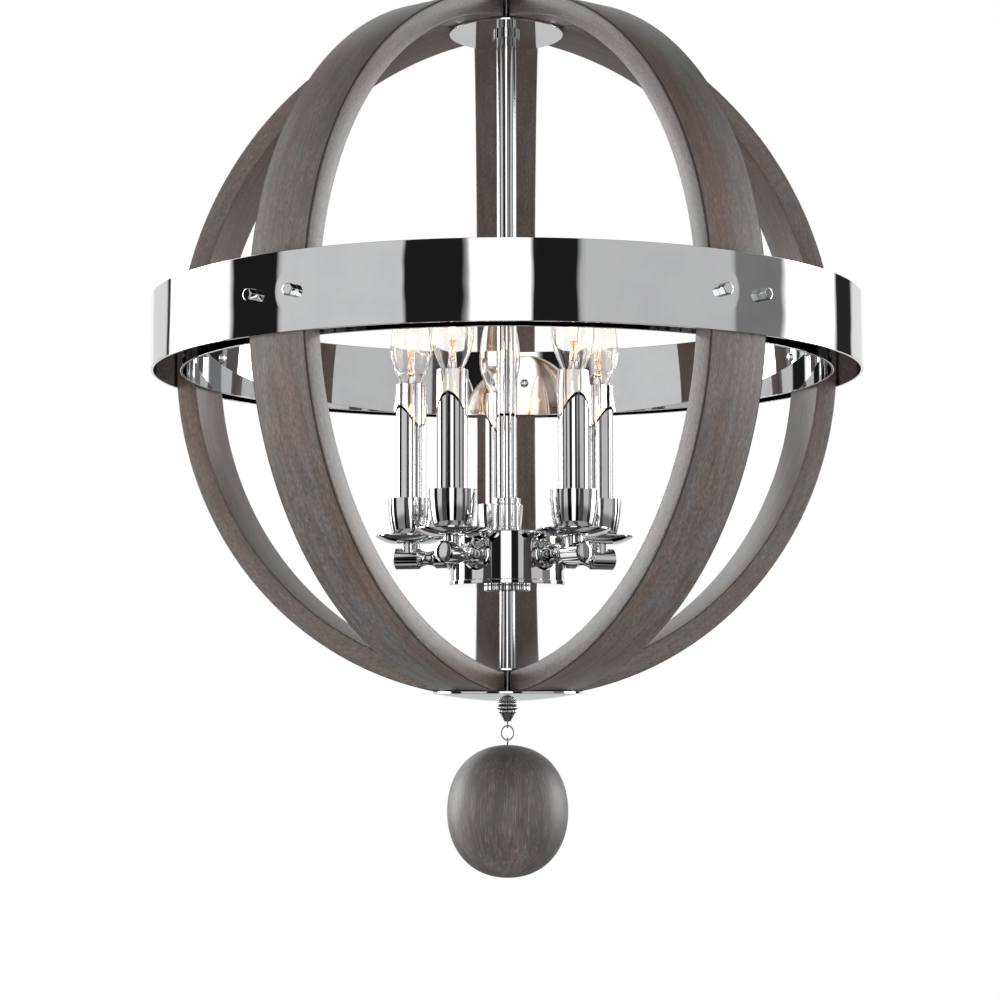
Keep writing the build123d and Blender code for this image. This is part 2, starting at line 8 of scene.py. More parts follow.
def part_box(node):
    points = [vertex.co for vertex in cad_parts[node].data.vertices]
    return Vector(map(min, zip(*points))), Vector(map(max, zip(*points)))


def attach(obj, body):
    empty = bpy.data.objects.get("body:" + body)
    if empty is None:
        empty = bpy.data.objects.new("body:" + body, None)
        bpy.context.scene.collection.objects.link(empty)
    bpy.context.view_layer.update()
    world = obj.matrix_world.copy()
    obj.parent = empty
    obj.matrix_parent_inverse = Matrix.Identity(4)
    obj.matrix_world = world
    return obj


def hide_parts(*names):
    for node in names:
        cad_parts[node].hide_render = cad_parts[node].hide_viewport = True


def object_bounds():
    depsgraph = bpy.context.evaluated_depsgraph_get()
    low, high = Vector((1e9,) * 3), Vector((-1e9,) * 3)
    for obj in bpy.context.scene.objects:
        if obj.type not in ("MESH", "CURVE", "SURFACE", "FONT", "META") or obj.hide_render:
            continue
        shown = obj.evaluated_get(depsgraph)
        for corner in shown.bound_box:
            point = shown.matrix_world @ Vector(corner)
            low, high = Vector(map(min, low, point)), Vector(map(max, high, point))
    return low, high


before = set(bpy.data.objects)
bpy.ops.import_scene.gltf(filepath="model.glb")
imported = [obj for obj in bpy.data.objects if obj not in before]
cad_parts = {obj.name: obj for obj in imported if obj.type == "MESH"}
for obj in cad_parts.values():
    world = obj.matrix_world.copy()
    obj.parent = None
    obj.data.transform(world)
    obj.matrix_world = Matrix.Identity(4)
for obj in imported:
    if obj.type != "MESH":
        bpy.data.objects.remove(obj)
cadLow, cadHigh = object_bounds()
print("frame loaded,", len(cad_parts), "nodes")

mm = 0.001
fullTurn = 2 * math.pi
weldReach = 0.001 * mm


# Small tools for modelling

def pick(piece):
    bpy.ops.object.select_all(action="DESELECT")
    piece.select_set(True)
    bpy.context.view_layer.objects.active = piece


def applyModifier(piece, kind, **settings):
    pick(piece)
    modifier = piece.modifiers.new(kind.lower(), kind)
    for key, value in settings.items():
        setattr(modifier, key, value)
    bpy.ops.object.modifier_apply(modifier=modifier.name)


def smoothShade(piece, degrees=32):
    pick(piece)
    bpy.ops.object.shade_smooth_by_angle(angle=math.radians(degrees))


def softenEdges(piece, width, segments=3):
    # Rounded edges, with the normals of the broad faces kept flat
    pick(piece)
    bpy.ops.object.shade_smooth()
    applyModifier(piece, "BEVEL", width=width, segments=segments, limit_method="ANGLE",
                  angle_limit=math.radians(40))
    applyModifier(piece, "WEIGHTED_NORMAL", mode="FACE_AREA", weight=100)


def settle(piece, location=(0, 0, 0), rotation=(0, 0, 0)):
    # The place goes into the mesh, and the object stays at the origin
    pick(piece)
    piece.location = location
    piece.rotation_euler = rotation
    bpy.ops.object.transform_apply(location=True, rotation=True, scale=True)


def copyOf(piece, name):
    twin = piece.copy()
    twin.data = piece.data.copy()
    twin.name = name
    bpy.context.scene.collection.objects.link(twin)
    return twin


def joinInto(first, others):
    pick(first)
    for other in others:
        other.select_set(True)
    bpy.ops.object.join()


def cutOrFuse(piece, other, operation):
    applyModifier(piece, "BOOLEAN", object=other, operation=operation, solver="EXACT")
    bpy.data.objects.remove(other)


def turnOnLathe(name, profile, steps=96):
    # A vertex is pulled from point to point of the outline, and the line is spun round Z
    bpy.ops.object.select_all(action="DESELECT")
    bpy.ops.mesh.primitive_plane_add(size=mm)
    piece = bpy.context.object
    piece.name = name
    bpy.ops.object.mode_set(mode="EDIT")
    bpy.ops.mesh.select_all(action="SELECT")
    bpy.ops.mesh.merge(type="CENTER")
    bpy.ops.transform.translate(value=(profile[0][0], 0, profile[0][1]))
    for (radius, height), (nextRadius, nextHeight) in zip(profile, profile[1:]):
        step = (nextRadius - radius, 0, nextHeight - height)
        bpy.ops.mesh.extrude_region_move(TRANSFORM_OT_translate={"value": step})
    bpy.ops.mesh.select_all(action="SELECT")
    bpy.ops.mesh.spin(steps=steps, angle=fullTurn, center=(0, 0, 0), axis=(0, 0, 1))
    bpy.ops.mesh.select_all(action="SELECT")
    bpy.ops.mesh.remove_doubles(threshold=weldReach)
    bpy.ops.mesh.normals_make_consistent(inside=False)
    bpy.ops.object.mode_set(mode="OBJECT")
    return piece


def tubeOutline(outer, inner, bottom, top):
    return [(inner, bottom), (outer, bottom), (outer, top), (inner, top), (inner, bottom)]


def arcThrough(start, middle, end, count=12):
    # Points of the circle through three points, from the first to the last
    (ax, ay), (bx, by), (cx, cy) = start, middle, end
    twice = 2 * (ax * (by - cy) + bx * (cy - ay) + cx * (ay - by))
    squares = [x * x + y * y for x, y in (start, middle, end)]
    centreX = (squares[0] * (by - cy) + squares[1] * (cy - ay) + squares[2] * (ay - by)) / twice
    centreY = (squares[0] * (cx - bx) + squares[1] * (ax - cx) + squares[2] * (bx - ax)) / twice
    radius = math.hypot(ax - centreX, ay - centreY)
    first, mid, last = [math.atan2(y - centreY, x - centreX) for x, y in (start, middle, end)]
    sweep = (last - first) % fullTurn
    if (mid - first) % fullTurn > sweep:
        sweep -= fullTurn
    angles = [first + sweep * i / count for i in range(count + 1)]
    return [(centreX + radius * math.cos(a), centreY + radius * math.sin(a)) for a in angles]


def curveThrough(start, startPull, endPull, end, count=16):
    points = interpolate_bezier(Vector((*start, 0)), Vector((*startPull, 0)), Vector((*endPull, 0)),
                                Vector((*end, 0)), count + 1)
    return [(point.x, point.y) for point in points]


def dress(piece, body, slotName, finish, *nodes):
    piece.data.materials.clear()
    piece.data.materials.append(finish)
    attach(piece, body)
    if nodes:
        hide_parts(*nodes)


# Shader maths: a wire wraps a socket, and sums on wires add Math nodes

class Wire:
    def __init__(self, tree, socket=None):
        self.tree = tree
        self.socket = socket

    def node(self, kind, settings, inputs, output=0):
        made = self.tree.nodes.new(kind)
        for key, value in settings.items():
            if key == "stops":
                setStops(made.color_ramp, value)
            else:
                setattr(made, key, value)
        for key, value in inputs.items():
            if isinstance(value, Wire):
                self.tree.links.new(value.socket, made.inputs[key])
            else:
                made.inputs[key].default_value = value
        return Wire(self.tree, made.outputs[output])

    def sum(self, operation, first, second):
        return self.node("ShaderNodeMath", {"operation": operation}, {0: first, 1: second})

    def __add__(self, other):
        return self.sum("ADD", self, other)

    __radd__ = __add__

    def __sub__(self, other):
        return self.sum("SUBTRACT", self, other)

    def __rsub__(self, other):
        return self.sum("SUBTRACT", other, self)

    def __mul__(self, other):
        return self.sum("MULTIPLY", self, other)

    __rmul__ = __mul__

    def axes(self):
        # The three parts of a place or a direction
        split = self.node("ShaderNodeSeparateXYZ", {}, {0: self}).socket.node
        return [Wire(self.tree, part) for part in split.outputs]

    def blend(self, first, second):
        # A colour between two others, by this value
        return self.node("ShaderNodeMix", {"data_type": "RGBA"}, {0: self, 6: first, 7: second}, 2)

    def band(self, low, high):
        # 0 below low, 1 above high
        return self.node("ShaderNodeMapRange", {"interpolation_type": "SMOOTHSTEP"},
                         {"Value": self, "From Min": low, "From Max": high})

    def stretched(self, scale, offset=(0, 0, 0)):
        return self.node("ShaderNodeMapping", {}, {"Vector": self, "Scale": scale, "Location": offset})

    def noise(self, scale, detail=3, roughness=0.55):
        return self.node("ShaderNodeTexNoise", {}, {"Vector": self, "Scale": scale, "Detail": detail,
                                                    "Roughness": roughness})

    def plug(self, shader, name):
        self.tree.links.new(self.socket, shader.inputs[name])


def setStops(ramp, stops):
    for element in list(ramp.elements)[1:]:
        ramp.elements.remove(element)
    ramp.elements[0].position = stops[0][0]
    ramp.elements[0].color = stops[0][1]
    for position, colour in stops[1:]:
        ramp.elements.new(position).color = colour


def startFinish(name, **fixed):
    material = bpy.data.materials.new(name)
    material.use_nodes = True
    shader = material.node_tree.nodes["Principled BSDF"]
    for key, value in fixed.items():
        shader.inputs[key.replace("_", " ")].default_value = value
    return material, shader, Wire(material.node_tree)


def objectPlace(start):
    return start.node("ShaderNodeTexCoord", {}, {}, "Object")


# Finishes

chromeLook = {
    "bright": (0.90, 0.905, 0.915, 1),
    "dull": (0.83, 0.835, 0.85, 1),
    # Colour of the painted shade in recesses
    "paintedShade": (0.03, 0.03, 0.033, 1),
    "roughness": 0.012,
    "smudge": 0.035,
    "hazeScale": 38,
    "hazeDetail": 4,
    "dullFrom": (0.35, 0.75),
    "smudgeFrom": (0.5, 0.85),
}


def chromeFinish(name, reliefOf=None, paintedShadeOf=None, roughness=chromeLook["roughness"]):
    # Bright plating, with a relief where the sheet isn't flat and painted shade in recesses where light
    # doesn't reach
    material, shader, start = startFinish(name, Metallic=1.0)
    place = objectPlace(start)
    haze = place.noise(chromeLook["hazeScale"], chromeLook["hazeDetail"])
    colour = haze.band(*chromeLook["dullFrom"]).blend(chromeLook["bright"], chromeLook["dull"])
    # Painted shade darkens the recesses
    if paintedShadeOf:
        colour = paintedShadeOf(place).blend(colour, chromeLook["paintedShade"])
    colour.plug(shader, "Base Color")
    (roughness + chromeLook["smudge"] * haze.band(*chromeLook["smudgeFrom"])).plug(shader, "Roughness")
    if reliefOf:
        relief = {"Height": reliefOf(place), "Strength": 1.0, "Distance": 1.0}
        start.node("ShaderNodeBump", {}, relief).plug(shader, "Normal")
    return material


woodLook = {
    "dark": (0.056, 0.047, 0.044, 1),
    "stain": (0.130, 0.099, 0.086, 1),
    "grey": (0.139, 0.131, 0.128, 1),
    "rosy": (0.150, 0.084, 0.060, 1),
    "pale": (0.235, 0.192, 0.165, 1),
    "arris": (0.016, 0.012, 0.010, 1),
    "slate": (0.064, 0.066, 0.070, 1),
    # Paler tone of the edge strips, a painted sheen
    "paintedEdgeSheen": (0.200, 0.170, 0.158, 1),
    "specular": 1.0,
    # Stretch of each pattern along the wood, across it and through it
    "streaks": (32, 300, 300),
    "patches": (9, 48, 48),
    "blushes": (5, 36, 36),
    "blushShift": (0.37, 0.21, 0.53),
    # Where in a pattern a tone starts and where it is full
    "rosyFrom": (0.50, 0.70),
    "slateFrom": (0.70, 0.42),
    "streakFrom": (0.60, 0.36),
    "poreFrom": (0.52, 0.34),
    "fleckFrom": (0.53, 0.68),
    "fleckWithin": (0.36, 0.60),
    "glossFrom": (0.35, 0.70),
    "rosyShare": 0.6,
    "streakShare": 0.38,
    "glossSpread": 0.12,
    # Distances in from the sides of a rib for the painted edge sheen and the dark line, and the reach of the
    # line about its middle depth
    "paintedEdgeSheenFrom": (0.5 * mm, 0.1 * mm),
    "lineFrom": (1.8 * mm, 1.1 * mm),
    "lineTo": (0.15 * mm, 0.5 * mm),
    "lineDepth": 2.0 * mm,
    "lineShare": 0.8,
    "lineDullness": 0.45,
    "bump": 0.08 * mm,
    "bumpStrength": 0.5,
}


def woodFinish(name, look, halfWidth=0.0, midDepth=0.0):
    # The grain follows the piece's own place attribute: along the wood, across it, through it
    material, shader, start = startFinish(name, Specular_IOR_Level=woodLook["specular"])
    place = start.node("ShaderNodeAttribute", {"attribute_name": "grainPlace"}, {}, "Vector")
    fibre = place.stretched(look["fibre"]).noise(1, detail=2, roughness=0.6)
    streak = place.stretched(woodLook["streaks"]).noise(1)
    patch = place.stretched(woodLook["patches"]).noise(1, detail=2)
    blush = place.stretched(woodLook["blushes"], woodLook["blushShift"]).noise(1, detail=2)
    ground = patch.band(*look["greyFrom"]).blend(woodLook["stain"], woodLook["grey"])
    ground = (blush.band(*woodLook["rosyFrom"]) * woodLook["rosyShare"]).blend(ground, woodLook["rosy"])
    ground = (patch.band(*woodLook["slateFrom"]) * look["slate"]).blend(ground, woodLook["slate"])
    ground = (streak.band(*woodLook["streakFrom"]) * woodLook["streakShare"]).blend(ground, woodLook["dark"])
    gloss = look["roughness"] + woodLook["glossSpread"] * fibre.band(*woodLook["glossFrom"])
    if halfWidth:
        # The edge strips are painted paler, a painted sheen
        across, depth = place.axes()[1:]
        inset = halfWidth - across.node("ShaderNodeMath", {"operation": "ABSOLUTE"}, {0: across})
        edge = inset.band(*woodLook["paintedEdgeSheenFrom"])
        ground = (edge * look["paintedEdgeSheen"]).blend(ground, woodLook["paintedEdgeSheen"])
    ground = (fibre.band(*woodLook["poreFrom"]) * look["contrast"]).blend(ground, woodLook["dark"])
    flecks = fibre.band(*woodLook["fleckFrom"]) * streak.band(*woodLook["fleckWithin"])
    grain = (flecks * look["contrast"]).blend(ground, woodLook["pale"])
    if halfWidth:
        # A dark, duller line is painted along the outer arrises
        line = inset.band(*woodLook["lineFrom"]) * inset.band(*woodLook["lineTo"])
        line = line * (depth - midDepth).band(-woodLook["lineDepth"], woodLook["lineDepth"])
        grain = (line * woodLook["lineShare"]).blend(grain, woodLook["arris"])
        gloss = gloss + woodLook["lineDullness"] * line
    grain.plug(shader, "Base Color")
    gloss.plug(shader, "Roughness")
    relief = {"Height": fibre, "Strength": woodLook["bumpStrength"], "Distance": woodLook["bump"]}
    start.node("ShaderNodeBump", {}, relief).plug(shader, "Normal")
    return material


glassLook = {
    "clear": (1, 1, 1, 1),
    "film": (0.985, 0.99, 0.99, 1),
    "paintedWarmTint": (0.998, 0.985, 0.972, 1),
    # Colour of the painted glow in the glass, and below it its strength
    "glow": (1.0, 0.52, 0.20, 1),
    "paintedGlowStrength": 0.025,
    "ior": 1.46,
    "filmScale": 60,
    "filmFrom": (0.3, 0.7),
    # Heights above a sleeve's mouth between which the glass takes a painted warm tint and a painted glow
    "bulbPaintedGlow": (12.0 * mm, 34.0 * mm),
    "stemPaintedGlow": (0.0, 20.0 * mm),
}
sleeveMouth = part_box("sleeve_1")[1].z


def glassFinish(name, paintedGlowHeights):
    # Clear glass with a painted warm tint and painted glow for the filament's light, rising from one height
    # to another
    material, shader, start = startFinish(name, Transmission_Weight=1.0, IOR=glassLook["ior"], Roughness=0.0,
                                          Emission_Strength=glassLook["paintedGlowStrength"])
    place = objectPlace(start)
    paintedGlowShare = (place.axes()[2] - sleeveMouth).band(*paintedGlowHeights)
    film = place.noise(glassLook["filmScale"], detail=2).band(*glassLook["filmFrom"])
    film = film.blend(glassLook["clear"], glassLook["film"])
    # Painted warm tint and painted glow near the filament
    paintedGlowShare.blend(film, glassLook["paintedWarmTint"]).plug(shader, "Base Color")
    paintedGlowShare.blend((0, 0, 0, 1), glassLook["glow"]).plug(shader, "Emission Color")
    return material


filamentLook = {
    "cold": (0.02, 0.02, 0.02, 1),
    "hot": (1.0, 0.40, 0.09, 1),
    "hottest": (1.0, 0.46, 0.1035, 1),
    "strength": 15.0,
    "scale": 900,
    "hottestFrom": (0.3, 0.7),
}


def glowFinish(name):
    material, shader, start = startFinish(name, Base_Color=filamentLook["cold"],
                                          Emission_Strength=filamentLook["strength"])
    uneven = objectPlace(start).noise(filamentLook["scale"], detail=1).band(*filamentLook["hottestFrom"])
    uneven.blend(filamentLook["hot"], filamentLook["hottest"]).plug(shader, "Emission Color")
    return material


plainLook = {
    "scale": 120,
    "detail": 4,
    "toneFrom": (0.35, 0.7),
    "glossSpread": 0.15,
    # Two close tones, the roughness and the metallic share of each finish
    "leadCopper": ((0.68, 0.38, 0.20, 1), (0.80, 0.50, 0.30, 1), 0.22, 1.0),
    "platedSteel": ((0.55, 0.55, 0.56, 1), (0.66, 0.66, 0.67, 1), 0.22, 1.0),
    # The wire is painted dark, a painted reflection of the dark surroundings in its chrome
    "wirePaintedDark": ((0.26, 0.26, 0.27, 1), (0.34, 0.34, 0.35, 1), 0.08, 1.0),
    "brassPlate": ((0.62, 0.45, 0.20, 1), (0.76, 0.58, 0.30, 1), 0.22, 1.0),
    "socketPlastic": ((0.015, 0.015, 0.016, 1), (0.03, 0.03, 0.031, 1), 0.40, 0.0),
    "leadJacket": ((0.60, 0.59, 0.55, 1), (0.70, 0.69, 0.65, 1), 0.45, 0.0),
}


def plainFinish(name):
    # Two close tones and an uneven gloss, for small pieces and those inside
    low, high, roughness, metallic = plainLook[name]
    material, shader, start = startFinish(name, Metallic=metallic)
    speckle = objectPlace(start).noise(plainLook["scale"], plainLook["detail"])
    speckle.band(*plainLook["toneFrom"]).blend(low, high).plug(shader, "Base Color")
    (roughness + plainLook["glossSpread"] * speckle).plug(shader, "Roughness")
    return material


turnedChrome = chromeFinish("turnedChrome")
clearGlass = glassFinish("clearGlass", glassLook["bulbPaintedGlow"])
bulbStem = glassFinish("bulbStemGlass", glassLook["stemPaintedGlow"])
filamentGlow = glowFinish("filamentGlow")
leadCopper = plainFinish("leadCopper")
platedSteel = plainFinish("platedSteel")
# Painted dark wire, standing in for the dark reflections of its chrome
wirePaintedDark = plainFinish("wirePaintedDark")
brassPlate = plainFinish("brassPlate")
socketPlastic = plainFinish("socketPlastic")
leadJacket = plainFinish("leadJacket")
print("finishes made")


def turnedPiece(name, node, outline, steps, softEdge, finish=turnedChrome):
    piece = turnOnLathe(name, outline, steps)
    softenEdges(piece, softEdge)
    dress(piece, "fixture", "chrome", finish, node)


# Bands round the equator

bandShape = {
    "wall": 2.0 * mm,
    "softEdge": 0.35 * mm,
    "steps": 240,
    "ripple": 0.3 * mm,
    "rippleScale": 26,
    "studPairs": 5,
    "firstPair": 90.0,
    "studSpacing": 33.0 * mm,
    "dimple": 0.12 * mm,
    "dimpleReach": 15.0 * mm,
}
globeCentre = (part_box("upper_disc")[1].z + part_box("lower_disc")[0].z) / 2


def bandRelief(place):
    # A slight wave in the sheet, and a dimple where each screw draws it in
    low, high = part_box("outer_band")
    eastward, northward, upward = place.axes()
    turn = place.sum("ARCTAN2", northward, eastward) - math.radians(bandShape["firstPair"])
    fromPair = turn.sum("PINGPONG", turn, math.pi / bandShape["studPairs"])
    aside = (fromPair - math.asin(bandShape["studSpacing"] / 2 / high.x)) * high.x
    above = upward - (low.z + high.z) / 2
    dimple = (aside * aside + above * above).band(bandShape["dimpleReach"] ** 2, 0)
    ripple = place.noise(bandShape["rippleScale"], detail=1)
    return ripple * bandShape["ripple"] - dimple * bandShape["dimple"]


bandChrome = chromeFinish("bandChrome", bandRelief)


def makeBand(name, node, finish):
    low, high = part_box(node)
    outline = tubeOutline(high.x, high.x - bandShape["wall"], low.z, high.z)
    turnedPiece(name, node, outline, bandShape["steps"], bandShape["softEdge"], finish)


makeBand("outerBand", "outer_band", bandChrome)
makeBand("innerBand", "inner_band", turnedChrome)
print("bands made")


# Bent-wood ribs

ribShape = {
    "count": 5,
    "firstAngle": 90.0,
    "thickness": 15.5 * mm,
    "arris": 1.5 * mm,
    "arrisSteps": 4,
    "endGap": 5.0 * mm,
    "endHole": 12.0 * mm,
    "steps": 160,
    "grainShift": 1.37,
    # The look's edge-strip share is a painted sheen on the edge strips
    "look": {"fibre": (270, 1300, 1300), "contrast": 0.75, "slate": 0.0, "paintedEdgeSheen": 0.12, "roughness": 0.38},
    # Each board has its own share of grey: back, left, front left, front right, right. The boards facing the
    # front get more grey, which in part is a painted sheen
    "greyFrom": ((0.52, 0.76), (0.50, 0.74), (0.26, 0.50), (0.30, 0.56), (0.40, 0.66)),
}


def trimAt(point, normal):
    # Cuts away what lies behind the plane and closes the end
    bpy.ops.mesh.select_all(action="SELECT")
    bpy.ops.mesh.bisect(plane_co=point, plane_no=normal, use_fill=True, clear_inner=True)


def storeGrain(piece, placeOf):
    attribute = piece.data.attributes.new("grainPlace", "FLOAT_VECTOR", "POINT")
    for vertex in piece.data.vertices:
        attribute.data[vertex.index].vector = placeOf(vertex.co)


def makeRibs():
    low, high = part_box("rib_1")
    width = high.x - low.x
    outer = high.y
    inner = outer - ribShape["thickness"]
    middle = (outer + inner) / 2
    bpy.ops.object.select_all(action="DESELECT")
    bpy.ops.mesh.primitive_plane_add(size=1, location=(0, 0, globeCentre + middle),
                                     rotation=(0, math.pi / 2, 0))
    rib = bpy.context.object
    rib.scale = (ribShape["thickness"], width, 1)
    bpy.ops.object.transform_apply(location=True, rotation=True, scale=True)
    bpy.ops.object.mode_set(mode="EDIT")
    bpy.ops.mesh.select_all(action="SELECT")
    bpy.ops.mesh.bevel(offset=ribShape["arris"], segments=ribShape["arrisSteps"], affect="VERTICES")
    bpy.ops.mesh.select_all(action="SELECT")
    bpy.ops.mesh.spin(steps=ribShape["steps"], angle=math.pi, center=(0, 0, globeCentre), axis=(0, -1, 0))
    bpy.ops.mesh.select_all(action="SELECT")
    bpy.ops.mesh.remove_doubles(threshold=weldReach)
    halfTurn = math.pi / ribShape["count"]
    tip = ribShape["endGap"] / 2 / math.sin(halfTurn)
    trimAt((ribShape["endHole"], 0, 0), (1, 0, 0))
    for side in (-1, 1):
        trimAt((tip, 0, 0), (math.sin(halfTurn), side * math.cos(halfTurn), 0))
    bpy.ops.mesh.select_all(action="SELECT")
    bpy.ops.mesh.normals_make_consistent(inside=False)
    bpy.ops.object.mode_set(mode="OBJECT")

    def unbent(point):
        height = point.z - globeCentre
        return middle * math.atan2(point.x, height), point.y, math.hypot(point.x, height)

    storeGrain(rib, unbent)
    for index, greyFrom in enumerate(ribShape["greyFrom"]):
        look = {**ribShape["look"], "greyFrom": greyFrom}
        ribWood = woodFinish(f"ribWood{index + 1}", look, width / 2, middle)
        one = copyOf(rib, f"rib{index + 1}")
        for item in one.data.attributes["grainPlace"].data:
            item.vector.x += index * ribShape["grainShift"]
        turn = ribShape["firstAngle"] + 360 / ribShape["count"] * index
        settle(one, rotation=(0, 0, math.radians(turn)))
        smoothShade(one)
        dress(one, "fixture", "stained_wood", ribWood, f"rib_{index + 1}")
    bpy.data.objects.remove(rib)


makeRibs()
print("ribs made")


# Screws and cap nuts through bands and ribs

fastenerShape = {
    "acrossFlats": 7.4 * mm,
    "nutHeight": 6.4 * mm,
    "nutRoll": 0.7 * mm,
    "dimpleRadius": 1.9 * mm,
    "dimpleDepth": 0.7 * mm,
    "softEdge": 0.15 * mm,
    "headRadius": 3.4 * mm,
    "headHeight": 2.2 * mm,
    "headRim": 0.5 * mm,
    "shankRadius": 2.0 * mm,
    "steps": 48,
}


def domeOutline(radius, base, height, count=8):
    # A quarter oval from the rim to the axis
    angles = [math.pi / 2 * i / count for i in range(count + 1)]
    return [(radius * math.cos(a), base + height * math.sin(a)) for a in angles]


def placeRound(pattern, name, reach, height):
    # A copy at each screw, turned to stand out from the axis, and all joined
    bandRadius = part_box("outer_band")[1].x
    offset = math.asin(bandShape["studSpacing"] / 2 / bandRadius)
    copies = []
    for index in range(bandShape["studPairs"]):
        middle = math.radians(bandShape["firstPair"]) + fullTurn / bandShape["studPairs"] * index
        for angle in (middle - offset, middle + offset):
            one = copyOf(pattern, name)
            place = (reach * math.cos(angle), reach * math.sin(angle), height)
            settle(one, place, (0, math.pi / 2, angle))
            copies.append(one)
    joinInto(copies[0], copies[1:])
    bpy.data.objects.remove(pattern)
    smoothShade(copies[0])
    return copies[0]


def makeFasteners():
    low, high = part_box("outer_band")
    level = (low.z + high.z) / 2
    corner = fastenerShape["acrossFlats"] / 2 / math.cos(math.pi / 6)
    height = fastenerShape["nutHeight"]
    bpy.ops.object.select_all(action="DESELECT")
    bpy.ops.mesh.primitive_cylinder_add(vertices=6, radius=corner, depth=height,
                                        location=(0, 0, height / 2))
    nut = bpy.context.object
    settle(nut, nut.location)
    rolled = [(0, 0), (corner, 0), (corner, height - fastenerShape["nutRoll"]),
              (corner - 2 * fastenerShape["nutRoll"], height), (fastenerShape["dimpleRadius"], height),
              (0, height - fastenerShape["dimpleDepth"])]
    cutOrFuse(nut, turnOnLathe("nutRoll", rolled, fastenerShape["steps"]), "INTERSECT")
    softenEdges(nut, fastenerShape["softEdge"], segments=2)
    nuts = placeRound(nut, "bandCapNuts", high.x, level)
    dress(nuts, "fixture", "chrome", turnedChrome, "band_cap_nuts")

    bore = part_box("inner_band")[1].x - bandShape["wall"]
    seat = math.sqrt(bore ** 2 - fastenerShape["headRadius"] ** 2)
    shank = fastenerShape["shankRadius"]
    headOutline = [(0, high.x - seat), (shank, high.x - seat), (shank, 0), (fastenerShape["headRadius"], 0)]
    crown = domeOutline(fastenerShape["headRadius"], fastenerShape["headRim"],
                        fastenerShape["headHeight"] - fastenerShape["headRim"])
    headOutline += [(radius, -height) for radius, height in crown]
    screws = placeRound(turnOnLathe("screw", headOutline, steps=32), "bandScrews", seat, level)
    dress(screws, "fixture", "chrome", turnedChrome, "band_screws")


makeFasteners()
print("screws and nuts made")


# Discs and dishes at the poles

poleShape = {"hole": 4.15 * mm, "dishWall": 1.6 * mm, "dishSteps": 14, "softEdge": 0.3 * mm, "steps": 128}


def makeDisc(name, node):
    low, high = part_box(node)
    outline = tubeOutline(high.x, poleShape["hole"], low.z, high.z)
    turnedPiece(name, node, outline, poleShape["steps"], poleShape["softEdge"])


def makeDish(name, node, side):
    low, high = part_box(node)
    outside = math.hypot(poleShape["hole"], max(high.z - globeCentre, globeCentre - low.z))

    def along(curve):
        count = poleShape["dishSteps"]
        reach = [poleShape["hole"] + (high.x - poleShape["hole"]) * i / count for i in range(count + 1)]
        return [(r, globeCentre + side * math.sqrt(curve ** 2 - r ** 2)) for r in reach]

    outline = along(outside) + along(outside - poleShape["dishWall"])[::-1]
    turnedPiece(name, node, outline + outline[:1], poleShape["steps"], poleShape["softEdge"])


makeDisc("upperDisc", "upper_disc")
makeDisc("lowerDisc", "lower_disc")
makeDish("upperDish", "upper_dish", 1)
makeDish("lowerDish", "lower_dish", -1)
print("pole plates made")


# Stem, collars and hub

hubShape = {
    "stemWall": 1.2 * mm,
    "stemSteps": 64,
    "collarPlay": 0.15 * mm,
    "collarGroove": 0.7 * mm,
    "collarGrooveWidth": 1.0 * mm,
    "collarLip": 4.0 * mm,
    "collarBase": 4.5 * mm,
    "collarBaseStep": 0.5 * mm,
    "drumRound": 1.2 * mm,
    "drumWall": 1.5 * mm,
    "drumSteps": 128,
    "coverPlate": 3.0 * mm,
    "coverEdge": 0.5 * mm,
    "nutLobes": 16,
    "stepsPerLobe": 12,
    "nutEdge": 0.5 * mm,
    "nutNotch": 1.1 * mm,
    "softEdge": 0.25 * mm,
}


def makeTube(name, node, wall):
    low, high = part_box(node)
    outline = tubeOutline(high.x, high.x - wall, low.z, high.z)
    turnedPiece(name, node, outline, hubShape["stemSteps"], hubShape["softEdge"])


def makeHubCollar():
    low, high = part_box("hub_collar")
    base = high.x
    body = base - hubShape["collarBaseStep"]
    groove = body - hubShape["collarGroove"]
    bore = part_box("upper_stem")[1].x + hubShape["collarPlay"]
    step = low.z + hubShape["collarBase"]
    lip = high.z - hubShape["collarLip"]
    under = lip - hubShape["collarGrooveWidth"]
    outline = [(bore, low.z), (base, low.z), (base, step), (body, step), (body, under), (groove, under),
               (groove, lip), (body, lip), (body, high.z), (bore, high.z), (bore, low.z)]
    turnedPiece("hubCollar", "hub_collar", outline, hubShape["stemSteps"], hubShape["softEdge"])


def makeDrum():
    low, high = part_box("hub_drum")
    corner = hubShape["drumRound"]
    wall = hubShape["drumWall"]
    radius = high.x
    halfway = corner * (1 - math.sin(math.pi / 4))
    shoulder = arcThrough((radius - corner, high.z), (radius - halfway, high.z - halfway),
                          (radius, high.z - corner), count=6)
    outline = [(poleShape["hole"], high.z)] + shoulder
    outline += [(radius, low.z), (radius - wall, low.z), (radius - wall, high.z - wall),
                (poleShape["hole"], high.z - wall), (poleShape["hole"], high.z)]
    turnedPiece("hubDrum", "hub_drum", outline, hubShape["drumSteps"], hubShape["softEdge"])

    coverLow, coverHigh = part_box("hub_cover")
    plateTop = coverLow.z + hubShape["coverPlate"]
    plate = tubeOutline(coverHigh.x, poleShape["hole"], coverLow.z, plateTop)
    turnedPiece("hubCover", "hub_cover", plate, hubShape["drumSteps"], hubShape["coverEdge"])


def notchRound(piece, count, depth, fromRadius):
    # Presses narrow upright valleys into the rim
    for vertex in piece.data.vertices:
        radius = math.hypot(vertex.co.x, vertex.co.y)
        if radius > fromRadius:
            turn = math.atan2(vertex.co.y, vertex.co.x) * count / 2
            valley = (1 - abs(math.cos(turn))) ** 2
            vertex.co.xy *= 1 - depth * valley / radius


